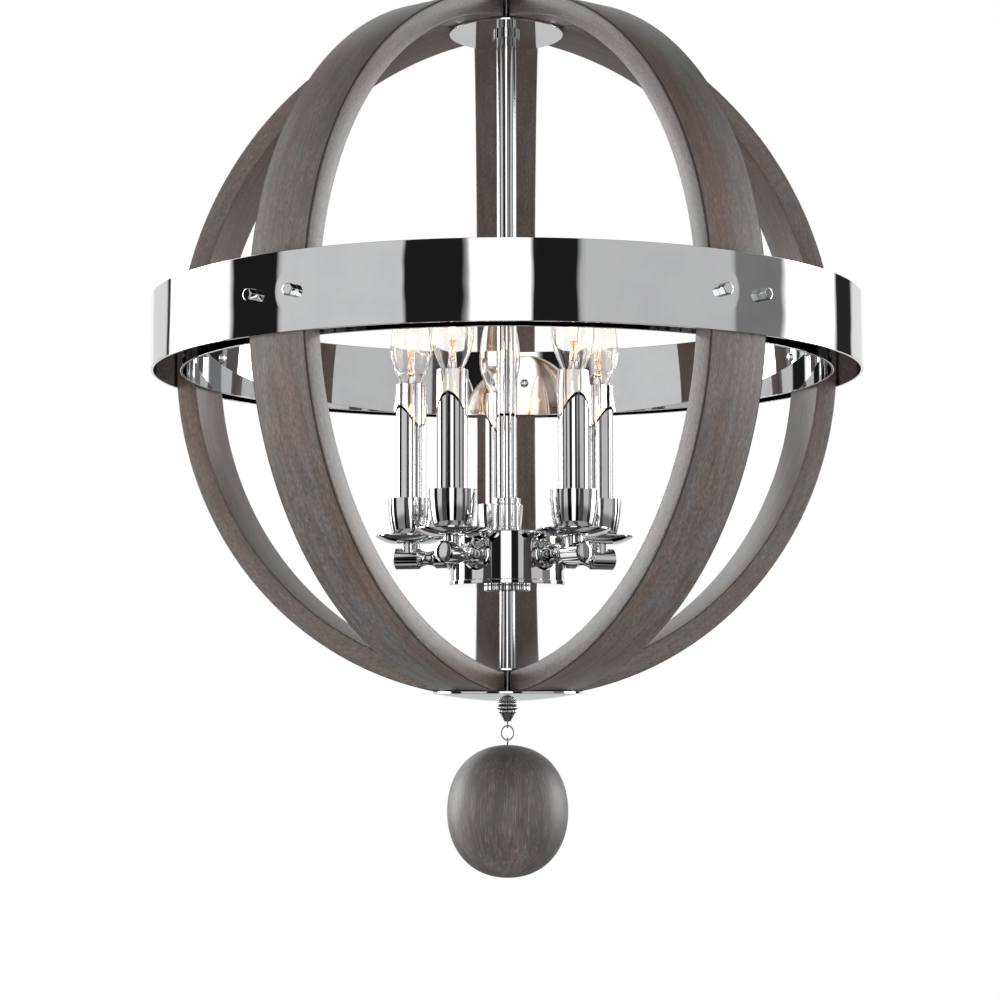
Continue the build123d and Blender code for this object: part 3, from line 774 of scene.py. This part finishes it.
# Where the painted shade of a recess starts and is full, as shares of half a lobe, and how it fades inwards
paintedShadeShape = {"valley": (0.78, 0.98), "fade": 0.2 * mm}


def paintedShadeBetweenLobes(place, count, fromRadius):
    # Painted shade: 1 in the valleys of a notched rim, 0 on its lobes and inside the rim
    eastward, northward = place.axes()[:2]
    turn = place.sum("ARCTAN2", northward, eastward)
    halfLobe = math.pi / count
    darkFrom, darkTo = paintedShadeShape["valley"]
    valley = turn.sum("PINGPONG", turn, halfLobe).band(darkFrom * halfLobe, darkTo * halfLobe)
    squared = eastward * eastward + northward * northward
    fade = paintedShadeShape["fade"]
    return valley * squared.band((fromRadius - fade) ** 2, (fromRadius + fade) ** 2)


def makeRingNut():
    low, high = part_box("ring_nut")
    edge = high.x
    inset = hubShape["nutEdge"]
    bore = poleShape["hole"]
    lobes = hubShape["nutLobes"]
    outline = [(bore, low.z), (edge - inset, low.z), (edge, low.z + inset), (edge, high.z - inset),
               (edge - inset, high.z), (bore, high.z), (bore, low.z)]
    nut = turnOnLathe("ringNut", outline, hubShape["stepsPerLobe"] * lobes)
    softenEdges(nut, hubShape["softEdge"], segments=2)
    rimFrom = edge - 1.5 * inset    # the bevelled rim is notched, the flat faces stay
    notchRound(nut, lobes, hubShape["nutNotch"], rimFrom)
    valleyFoot = edge - hubShape["nutNotch"] - inset
    # The nut's valleys take painted shade in its chrome
    nutChrome = chromeFinish("nutChrome", paintedShadeOf=lambda place: paintedShadeBetweenLobes(place, lobes, valleyFoot))
    dress(nut, "fixture", "chrome", nutChrome, "ring_nut")


makeTube("upperStem", "upper_stem", hubShape["stemWall"])
makeTube("lowerStem", "lower_stem", hubShape["stemWall"])
makeTube("topCollar", "top_collar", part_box("top_collar")[1].x - poleShape["hole"])
makeHubCollar()
makeDrum()
makeRingNut()
print("stem and hub made")


# Arms

armShape = {
    "footRadius": 11.0 * mm,
    "footLength": 6.0 * mm,
    "footHollow": 0.3,
    "footSink": 2.0 * mm,
    "tubeRadius": 7.3 * mm,
    "tubeLength": 5.5 * mm,
    "waistRadius": 4.8 * mm,
    "waistLength": 13.0 * mm,
    "barrelRadius": 7.65 * mm,
    "barrelOverhang": 10.6 * mm,
    "barrelSteps": 8,
    "endStep": 1.2 * mm,
    "endBulge": 1.6 * mm,
    "neckRadius": 6.5 * mm,
    "drumCut": 60.0 * mm,
    "drumCutSteps": 256,
    "steps": 64,
}
candleCount = 5
candleCentres = [sum(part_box(f"saucer_{i + 1}"), Vector()) / 2 for i in range(candleCount)]
candleAngles = [math.atan2(centre.y, centre.x) for centre in candleCentres]
candleReach = candleCentres[0].xy.length
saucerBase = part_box("saucer_1")[0].z


def makeArms():
    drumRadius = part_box("hub_drum")[1].x
    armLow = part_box("arm_1")[0].z
    axis = armLow + armShape["footRadius"]
    tube = armShape["tubeRadius"]
    barrel = armShape["barrelRadius"]
    footEnd = drumRadius + armShape["footLength"]
    tubeEnd = footEnd + armShape["tubeLength"]
    barrelStart = tubeEnd + armShape["waistLength"]
    barrelEnd = candleReach + armShape["barrelOverhang"]
    root = drumRadius - armShape["footSink"]
    hollow = armShape["footHollow"]
    footMiddle = (tube + hollow * (armShape["footRadius"] - tube),
                  drumRadius + hollow * armShape["footLength"])
    outline = [(0, root), (armShape["footRadius"], root)]
    outline += arcThrough((armShape["footRadius"], drumRadius), footMiddle, (tube, footEnd), count=8)
    outline += arcThrough((tube, tubeEnd), (armShape["waistRadius"], (tubeEnd + barrelStart) / 2),
                          (barrel, barrelStart), count=16)
    barrelRun = barrelEnd - barrelStart
    count = armShape["barrelSteps"]
    outline += [(barrel, barrelStart + barrelRun * (i + 1) / count) for i in range(count)]
    shoulder = barrelEnd + armShape["endStep"] / 2
    bulge = armShape["endBulge"] - armShape["endStep"] / 2
    outline += domeOutline(barrel - armShape["endStep"], shoulder, bulge, count=10)
    arm = turnOnLathe("arm", outline, armShape["steps"])
    settle(arm, (0, 0, axis), (0, math.pi / 2, 0))
    bpy.ops.object.select_all(action="DESELECT")
    bpy.ops.mesh.primitive_cylinder_add(vertices=armShape["drumCutSteps"], radius=drumRadius,
                                        depth=armShape["drumCut"], location=(0, 0, axis))
    cutOrFuse(arm, bpy.context.object, "DIFFERENCE")
    neckRadius = armShape["neckRadius"]
    neckOutline = [(0, axis), (neckRadius, axis), (neckRadius, saucerBase), (0, saucerBase)]
    neck = turnOnLathe("neck", neckOutline, armShape["steps"])
    settle(neck, (candleReach, 0, 0))
    cutOrFuse(arm, neck, "UNION")
    for index, angle in enumerate(candleAngles):
        one = copyOf(arm, f"arm{index + 1}")
        settle(one, rotation=(0, 0, angle))
        smoothShade(one)
        dress(one, "fixture", "chrome", turnedChrome, f"arm_{index + 1}")
    bpy.data.objects.remove(arm)


makeArms()
print("arms made")


# Saucers, cups and sleeves, each made on the axis and copied to the five candles

candleShape = {
    "hole": 4.15 * mm,
    "saucerFlat": 10.0 * mm,
    "saucerSag": 1.3 * mm,
    "saucerWall": 1.0 * mm,
    "cupRound": 3.0 * mm,
    "cupSwell": 1.1 * mm,
    "cupWall": 1.2 * mm,
    "cupFloor": 1.5 * mm,
    "cupFoot": 12.6 * mm,
    "sleeveWall": 0.8 * mm,
    "softEdge": 0.22 * mm,
}


def toCandles(pattern, name, node, finish, slotName):
    for index, centre in enumerate(candleCentres):
        one = copyOf(pattern, f"{name}{index + 1}")
        settle(one, (centre.x, centre.y, 0), (0, 0, candleAngles[index]))
        dress(one, "fixture", slotName, finish, f"{node}_{index + 1}")
    bpy.data.objects.remove(pattern)


def candlePiece(name, outline):
    piece = turnOnLathe(name, outline)
    softenEdges(piece, candleShape["softEdge"])
    toCandles(piece, name, name, turnedChrome, "chrome")


def makeSaucer():
    low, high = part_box("saucer_1")
    rim = (high.x - low.x) / 2
    wall = candleShape["saucerWall"]
    flat = candleShape["saucerFlat"]
    rimBase = high.z - wall
    middle = ((flat + rim) / 2, (low.z + rimBase) / 2 - candleShape["saucerSag"])
    under = arcThrough((flat, low.z), middle, (rim, rimBase), count=16)
    over = [(radius, height + wall) for radius, height in reversed(under)]
    outline = [(candleShape["hole"], low.z)] + under + over
    outline += [(candleShape["hole"], low.z + wall), (candleShape["hole"], low.z)]
    candlePiece("saucer", outline)


def makeCup():
    low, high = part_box("cup_1")
    mouth = (high.x - low.x) / 2
    foot = candleShape["cupFoot"]
    wall = candleShape["cupWall"]
    heel = low.z + candleShape["cupRound"]
    turnStart = foot - candleShape["cupRound"]
    diagonal = candleShape["cupRound"] * math.sin(math.pi / 4)
    middle = ((foot + mouth) / 2 + candleShape["cupSwell"], (heel + high.z) / 2)
    outside = arcThrough((foot, heel), middle, (mouth, high.z), count=20)
    inside = [(radius - wall, height) for radius, height in reversed(outside)]
    floor = low.z + candleShape["cupFloor"]
    outline = [(candleShape["hole"], low.z)]
    outline += arcThrough((turnStart, low.z), (turnStart + diagonal, heel - diagonal), (foot, heel), count=8)
    outline += outside[1:] + inside
    outline += [(foot - wall, floor), (candleShape["hole"], floor), (candleShape["hole"], low.z)]
    candlePiece("cup", outline)


def makeSleeve():
    low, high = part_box("sleeve_1")
    radius = (high.x - low.x) / 2
    candlePiece("sleeve", tubeOutline(radius, radius - candleShape["sleeveWall"], low.z, high.z))


makeSaucer()
makeCup()
makeSleeve()
print("candles made")


# Bulbs

bulbShape = {
    "neck": 6.6 * mm,
    "neckLean": 0.42,
    "neckPull": 9.0 * mm,
    "belly": 27.0 * mm,
    "bellyPull": 10.0 * mm,
    "crownPull": 22.0 * mm,
    "tipPull": 6.0 * mm,
    "wall": 0.8 * mm,
    "stemRadius": 2.6 * mm,
    "stemFlare": 5.0 * mm,
    "stemHeight": 22.0 * mm,
    "stemDome": 1.5 * mm,
    # Reach from the axis and height: the flare's waist, and the lead wire's root and bend by the stem's top
    "flareWaist": (3.12 * mm, 7.0 * mm),
    "flareHeight": 15.0 * mm,
    "leadRoot": (1.2 * mm, -4.0 * mm),
    "leadBend": (1.3 * mm, 3.0 * mm),
    "leadRadius": 0.28 * mm,
    "leadSpread": 3.5 * mm,
    "leadRise": 16.0 * mm,
    "coilRadius": 0.9 * mm,
    "coilWire": 0.34 * mm,
    "coilTurns": 28,
    "stepsPerTurn": 10,
    "coilDrop": 9.0 * mm,
    "coilPeaks": 2,
}


def bulbOutline(low, high, radius, inset):
    belly = low + bulbShape["belly"]
    tip = high - inset
    wide = radius - inset
    neck = bulbShape["neck"] - inset
    leaving = (neck + bulbShape["neckLean"] * bulbShape["neckPull"], low + bulbShape["neckPull"])
    lower = curveThrough((neck, low), leaving, (wide, belly - bulbShape["bellyPull"]), (wide, belly),
                         count=14)
    upper = curveThrough((wide, belly), (wide, belly + bulbShape["crownPull"]), (bulbShape["tipPull"], tip),
                         (0, tip), count=24)
    return lower + upper[1:]


def makeBulbGlass():
    low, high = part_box("bulb_glass_1")
    radius = (high.x - low.x) / 2
    outside = bulbOutline(low.z, high.z, radius, 0)
    inside = bulbOutline(low.z, high.z, radius, bulbShape["wall"])
    glass = turnOnLathe("bulbGlass", outside[::-1] + inside, steps=64)
    smoothShade(glass)
    toCandles(glass, "bulbGlass", "bulb_glass", clearGlass, "clear_glass")


def wireThrough(name, points, radius):
    curve = bpy.data.curves.new(name, "CURVE")
    curve.dimensions = "3D"
    curve.bevel_depth = radius
    curve.bevel_resolution = 2
    curve.use_fill_caps = True
    line = curve.splines.new("POLY")
    line.points.add(len(points) - 1)
    for point, place in zip(line.points, points):
        point.co = (*place, 1)
    wire = bpy.data.objects.new(name, curve)
    bpy.context.scene.collection.objects.link(wire)
    pick(wire)
    bpy.ops.object.convert(target="MESH")
    return bpy.context.object


def makeBulbInsides():
    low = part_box("bulb_glass_1")[0].z
    top = low + bulbShape["stemHeight"]
    tips = top + bulbShape["leadRise"]
    spread = bulbShape["leadSpread"]
    waist, waistHeight = bulbShape["flareWaist"]
    flare = arcThrough((bulbShape["stemFlare"], low), (waist, low + waistHeight),
                       (bulbShape["stemRadius"], low + bulbShape["flareHeight"]), count=10)
    dome = domeOutline(bulbShape["stemRadius"], top, bulbShape["stemDome"])
    stem = turnOnLathe("stem", [(0, low)] + flare + dome, steps=32)
    leads = []
    turns = (bulbShape["leadRoot"], bulbShape["leadBend"])
    for side in (-1, 1):
        bends = [(side * reach, 0, top + rise) for reach, rise in turns]
        leads.append(wireThrough("lead", bends + [(side * spread, 0, tips)], bulbShape["leadRadius"]))
    # The filament hangs in loops between the two lead wires
    steps = bulbShape["coilTurns"] * bulbShape["stepsPerTurn"]
    coil = []
    for i in range(steps + 1):
        share = i / steps
        angle = fullTurn * bulbShape["coilTurns"] * share
        sag = bulbShape["coilDrop"] * math.sin(math.pi * bulbShape["coilPeaks"] * share) ** 2
        coil.append((spread * (2 * share - 1), bulbShape["coilRadius"] * math.cos(angle),
                     tips - sag + bulbShape["coilRadius"] * math.sin(angle)))
    filament = wireThrough("filament", coil, bulbShape["coilWire"])
    stems, wires, coils = [], [], []
    for index, centre in enumerate(candleCentres):
        for pattern, kept, name in ((stem, stems, "bulbStems"), (leads[0], wires, "bulbLeads"),
                                    (leads[1], wires, "bulbLeads"), (filament, coils, "bulbFilaments")):
            one = copyOf(pattern, name)
            settle(one, (centre.x, centre.y, 0), (0, 0, candleAngles[index]))
            kept.append(one)
    for kept, finish, slotName in ((stems, bulbStem, "clear_glass"), (wires, leadCopper, "brass"),
                                   (coils, filamentGlow, "filament")):
        joinInto(kept[0], kept[1:])
        smoothShade(kept[0], degrees=60)
        dress(kept[0], "fixture", slotName, finish)
    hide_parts("bulb_filaments")
    for pattern in (stem, *leads, filament):
        bpy.data.objects.remove(pattern)


makeBulbGlass()
makeBulbInsides()
print("bulbs made")


# Finial knob, its eye, the link, the ball's eye and the ball

dropShape = {
    "ringRadii": (6.9 * mm, 7.8 * mm, 6.5 * mm),
    "ringHeight": 2.7 * mm,
    "ringRound": 1.0 * mm,
    "lobes": 14,
    "stepsPerLobe": 10,
    "lobeDepth": 0.55 * mm,
    "grooveFrom": (0.32 * mm, 0.12 * mm),
    "rowFade": 0.1 * mm,
    "coneTop": 5.6 * mm,
    "coneTip": 2.3 * mm,
    "knobRoughness": 0.24,
    "eyeRing": 1.75 * mm,
    "eyeWire": 0.6 * mm,
    "eyeShank": 0.8 * mm,
    "linkWire": 0.5 * mm,
    "ballFullness": 0.6,
    "grainSpread": 0.7,
    "grainPole": 0.01 * mm,
    "ballLook": {"fibre": (85, 1450, 1450), "contrast": 0.9, "slate": 0.8, "greyFrom": (0.36, 0.64),
                 "roughness": 0.46},
}


def makeKnob():
    # Three bead rows over a cone, with painted shade in the groove between the rows and in the valleys
    # between the lobes
    low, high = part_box("finial_knob")
    outline = [(0, high.z)]
    bottom = high.z
    for edge in dropShape["ringRadii"]:
        top = bottom
        bottom = top - dropShape["ringHeight"]
        inner = edge - dropShape["ringRound"]
        outline += arcThrough((inner, top), (edge, (top + bottom) / 2), (inner, bottom), count=10)
    outline += [(dropShape["coneTop"], bottom), (dropShape["coneTip"], low.z), (0, low.z)]
    knob = turnOnLathe("finialKnob", outline, dropShape["stepsPerLobe"] * dropShape["lobes"])
    fade = dropShape["rowFade"]
    notchRound(knob, dropShape["lobes"], dropShape["lobeDepth"], dropShape["coneTop"] + fade)
    smoothShade(knob, degrees=40)

    # Painted shade in the grooves between rows and the valleys between lobes
    def paintedGrooveShade(place):
        upward = place.axes()[2]
        fromRow = upward.sum("PINGPONG", upward - high.z, dropShape["ringHeight"] / 2)
        groove = fromRow.band(*dropShape["grooveFrom"])
        both = 1 - (1 - groove) * (1 - paintedShadeBetweenLobes(place, dropShape["lobes"], dropShape["coneTop"]))
        return both * upward.band(bottom - fade, bottom + fade)

    knobChrome = chromeFinish("knobChrome", paintedShadeOf=paintedGrooveShade, roughness=dropShape["knobRoughness"])
    dress(knob, "fixture", "chrome", knobChrome, "finial_knob")


def makeEye(name, node, body, shankSide):
    low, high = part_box(node)
    ringOuter = dropShape["eyeRing"] + dropShape["eyeWire"]
    centre = low.z + ringOuter if shankSide > 0 else high.z - ringOuter
    bpy.ops.object.select_all(action="DESELECT")
    bpy.ops.mesh.primitive_torus_add(major_radius=dropShape["eyeRing"], minor_radius=dropShape["eyeWire"],
                                     major_segments=40, minor_segments=16, location=(0, 0, centre),
                                     rotation=(0, math.pi / 2, 0))
    eye = bpy.context.object
    eye.name = name
    bpy.ops.object.transform_apply(location=True, rotation=True, scale=True)
    start = centre + shankSide * dropShape["eyeRing"]
    end = high.z if shankSide > 0 else low.z
    thick = dropShape["eyeShank"]
    shank = turnOnLathe("shank", [(0, start), (thick, start), (thick, end), (0, end)], steps=24)
    cutOrFuse(eye, shank, "UNION")
    smoothShade(eye)
    dress(eye, body, "chrome", wirePaintedDark, node)


def makeLink():
    low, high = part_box("chain_link")
    wire = dropShape["linkWire"]
    halfWidth = high.x - wire
    halfHeight = (high.z - low.z) / 2 - wire
    bpy.ops.object.select_all(action="DESELECT")
    bpy.ops.mesh.primitive_torus_add(major_radius=halfWidth, minor_radius=wire, major_segments=64,
                                     minor_segments=16, rotation=(math.pi / 2, 0, 0))
    link = bpy.context.object
    link.name = "chainLink"
    bpy.ops.object.transform_apply(location=True, rotation=True, scale=True)
    for vertex in link.data.vertices:
        # The ring is drawn out to a slightly pointed oval, with its wire kept round
        turn = math.atan2(vertex.co.z, vertex.co.x)
        vertex.co.z += (halfHeight - halfWidth) * math.sin(turn) * abs(math.sin(turn))
    settle(link, (0, 0, (low.z + high.z) / 2))
    smoothShade(link)
    dress(link, "link", "chrome", wirePaintedDark, "chain_link")


def makeBall():
    low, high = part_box("wood_ball")
    radius = high.x
    half = (high.z - low.z) / 2
    middle = (high.z + low.z) / 2
    along = dropShape["ballFullness"] * radius
    up = dropShape["ballFullness"] * half
    upper = curveThrough((0, high.z), (along, high.z), (radius, middle + up), (radius, middle), count=28)
    lower = curveThrough((radius, middle), (radius, middle - up), (along, low.z), (0, low.z), count=28)
    ball = turnOnLathe("woodBall", upper + lower[1:])

    def alongMeridian(point):
        # The grain keeps mostly to the meridians, so it doesn't end in dots at the poles
        around = max(math.hypot(point.x, point.y), dropShape["grainPole"])
        spread = (radius / around) ** dropShape["grainSpread"]
        return half * math.atan2(point.z - middle, around), point.x * spread, point.y * spread

    storeGrain(ball, alongMeridian)
    smoothShade(ball)
    dress(ball, "ball", "stained_wood", woodFinish("ballWood", dropShape["ballLook"]), "wood_ball")


makeKnob()
makeEye("knobEye", "knob_eye", "fixture", 1)
makeLink()
makeEye("ballEye", "ball_eye", "ball", -1)
makeBall()
print("finial, link and ball made")


# Hanging loop above the upper dish

loopShape = {
    "bore": 10.0 * mm,
    "wall": 4.5 * mm,
    "thickness": 8.0 * mm,
    "round": 1.5 * mm,
    "bossTop": 7.0 * mm,
    "bossHeight": 9.0 * mm,
    "bossRadius": 10.0 * mm,
    "softEdge": 0.5 * mm,
}


def makeLoop():
    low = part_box("hang_loop")[0]
    half = loopShape["thickness"] / 2
    bore = loopShape["bore"]
    ring = turnOnLathe("hangLoop", tubeOutline(bore + loopShape["wall"], bore, -half, half))
    softenEdges(ring, loopShape["round"], segments=5)
    settle(ring, rotation=(math.pi / 2, 0, 0))
    top = low.z + loopShape["bossHeight"]
    bossOutline = [(0, low.z), (loopShape["bossRadius"], low.z), (loopShape["bossTop"], top), (0, top)]
    boss = turnOnLathe("boss", bossOutline, steps=64)
    softenEdges(boss, loopShape["softEdge"])
    cutOrFuse(ring, boss, "UNION")
    smoothShade(ring)
    dress(ring, "fixture", "chrome", turnedChrome, "hang_loop")


makeLoop()

# Pieces inside keep their solids and take a finish
innerFinishes = {
    "threaded_pipe": platedSteel,
    "arm_nuts": platedSteel,
    "socket_posts": platedSteel,
    "terminal_ring": socketPlastic,
    "sockets": socketPlastic,
    "socket_leads": leadJacket,
    "bulb_bases": brassPlate,
}
for node, finish in innerFinishes.items():
    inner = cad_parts[node]
    inner.data.materials.clear()
    inner.data.materials.append(finish)
print("loop and inner pieces done")


# Floor, light, world and camera

studio = {
    "floorDrop": 1.0,
    "floorRadius": 8.0,
    "floorColour": (0.86, 0.86, 0.86, 1),
    "floorFade": (0.4, 2.2),
    "floorWhite": 0.55,
    # Level of the open room round the light and above it, and the sines between which it falls
    "openLevel": 0.48,
    "aboveLevel": 0.12,
    "aboveFrom": (0.0, 0.7),
    # Name, place from the globe's centre, size and power of each lamp
    "lamps": (("topSoftbox", (0, -0.3, 1.5), 1.6, 2.0), ("leftSoftbox", (-1.9, -0.6, -0.2), 1.5, 32.0),
              ("rightSoftbox", (1.9, -0.6, -0.2), 1.5, 24.0), ("lowFill", (0, -1.3, -0.75), 1.2, 6.0)),
    # Level of the screens that the metal shows, by the angle round from the camera's side, + to its right
    "screens": ((-180, 0.95), (-157, 0.72), (-137.5, 0.03), (-134, 1.2), (-95.7, 0.012), (-74.8, 0.60),
                (-31.8, 0.012), (-12.4, 1.35), (7.5, 0.012), (22.2, 0.52), (74.8, 0.19), (95.7, 1.2),
                (126.6, 0.02), (142, 0.78), (159, 0.97)),
    "screenSoftness": 0.5,
    "screenGain": 1.5,
    # Sines of the heights where the screens are lit, beyond which all is grey, and where the floor begins
    "litFrom": (-0.58, -0.42),
    "litTo": (0.62, 0.78),
    "greyBelow": (-0.86, -0.74),
    "greyAbove": (0.82, 0.92),
    "greyLevel": 0.36,
    "floorFrom": (-0.20, -0.08),
    "floorShare": 0.62,
    # Softboxes that give the wood its sheen: first and last angle, low and high edge as sines, level
    "softboxes": ((-133, -100, -0.09, 0.38, 5.7), (98, 125, -0.09, 0.38, 6.6),
                  (-166, -128, 0.28, 0.56, 2.0)),
    "softboxFade": 0.07,
}


def makeFloor():
    bpy.ops.object.select_all(action="DESELECT")
    bpy.ops.mesh.primitive_circle_add(vertices=96, radius=studio["floorRadius"], fill_type="NGON",
                                      location=(0, 0, cadLow.z - studio["floorDrop"]))
    floor = bpy.context.object
    floor.name = "floor"
    bpy.ops.object.transform_apply(location=True, rotation=True, scale=True)
    material, shader, start = startFinish("floorPaint", Roughness=0.9)
    shader.inputs["Base Color"].default_value = studio["floorColour"]
    place = objectPlace(start)
    flat = place.stretched((1, 1, 0))
    distance = flat.node("ShaderNodeVectorMath", {"operation": "LENGTH"}, {0: flat}, "Value")
    seen = start.node("ShaderNodeLightPath", {}, {}, "Is Camera Ray")
    white = studio["floorWhite"]
    fade = (white + (1 - white) * distance.band(*studio["floorFade"])) * seen
    glow = material.node_tree.nodes.new("ShaderNodeEmission")
    mix = start.node("ShaderNodeMixShader", {}, {0: fade})
    mixNode = mix.socket.node
    links = material.node_tree.links
    links.new(shader.outputs[0], mixNode.inputs[1])
    links.new(glow.outputs[0], mixNode.inputs[2])
    links.new(mix.socket, material.node_tree.nodes["Material Output"].inputs["Surface"])
    floor.data.materials.append(material)
    floor.visible_glossy = False


def makeLights():
    centre = Vector((0, 0, globeCentre))
    for name, offset, size, power in studio["lamps"]:
        place = Vector(offset)
        lamp = bpy.data.lights.new(name, "AREA")
        lamp.size = size
        lamp.energy = power
        light = bpy.data.objects.new(name, lamp)
        light.location = centre + place
        light.rotation_euler = (-place).to_track_quat("-Z", "Y").to_euler()
        light.visible_glossy = False
        light.visible_camera = False
        bpy.context.scene.collection.objects.link(light)


def makeWorld():
    world = bpy.data.worlds.new("studio")
    bpy.context.scene.world = world
    world.use_nodes = True
    world.cycles.sampling_method = "NONE"
    start = Wire(world.node_tree)
    direction = start.node("ShaderNodeTexCoord", {}, {}, "Generated")
    eastward, away, height = direction.axes()
    turn = start.sum("ARCTAN2", eastward, 0 - away)
    share = turn * (1 / fullTurn) + 0.5
    soft = studio["screenSoftness"]
    stops = []
    previous = studio["screens"][-1][1]
    for angle, level in studio["screens"]:
        for shift, shown in ((-soft, previous), (soft, level)):
            value = shown / studio["screenGain"]
            stops.append((min(max((angle + shift) / 360 + 0.5, 0), 1), (value, value, value, 1)))
        previous = level
    screens = share.node("ShaderNodeValToRGB", {"stops": stops}, {0: share})
    lit = height.band(*studio["litFrom"]) * height.band(*studio["litTo"][::-1])
    grey = height.band(*studio["greyBelow"][::-1]) + height.band(*studio["greyAbove"])
    screens = screens * studio["screenGain"]
    onFloor = screens * screens * studio["floorShare"]    # the floor mirrors only the brighter screens
    shown = (onFloor + (screens - onFloor) * height.band(*studio["floorFrom"])) * lit
    shown = shown + grey * studio["greyLevel"]
    degrees = turn * (360 / fullTurn)
    fade = studio["softboxFade"]
    for first, last, lowEdge, highEdge, level in studio["softboxes"]:
        across = degrees.band(first - soft, first + soft) * degrees.band(last + soft, last - soft)
        raised = height.band(lowEdge - fade, lowEdge + fade) * height.band(highEdge + fade, highEdge - fade)
        shown = shown + across * raised * level
    seen = start.node("ShaderNodeLightPath", {}, {}, "Is Camera Ray")
    diffuse = start.node("ShaderNodeLightPath", {}, {}, "Is Diffuse Ray")
    level = studio["openLevel"]
    upper = studio["aboveLevel"]
    around = height.band(*studio["aboveFrom"]).blend((level, level, level, 1), (upper, upper, upper, 1))
    colour = diffuse.blend(shown, around)
    seen.blend(colour, (1, 1, 1, 1)).plug(world.node_tree.nodes["Background"], "Color")


makeFloor()
makeLights()
makeWorld()
print("studio made")

cameraShape = {
    "place": (-0.0051, -1.6885, -0.5260),
    "tiltUp": 4.77,
    "roll": -0.09,
    "lens": 85.1,
    "sensor": 36.0,
}
cameraData = bpy.data.cameras.new("camera")
cameraData.lens = cameraShape["lens"]
cameraData.sensor_width = cameraShape["sensor"]
camera = bpy.data.objects.new("camera", cameraData)
camera.location = cameraShape["place"]
camera.rotation_mode = "ZYX"
camera.rotation_euler = (math.radians(90 + cameraShape["tiltUp"]), 0, math.radians(cameraShape["roll"]))
bpy.context.scene.collection.objects.link(camera)
bpy.context.scene.camera = camera
bpy.context.scene.view_settings.view_transform = "Standard"
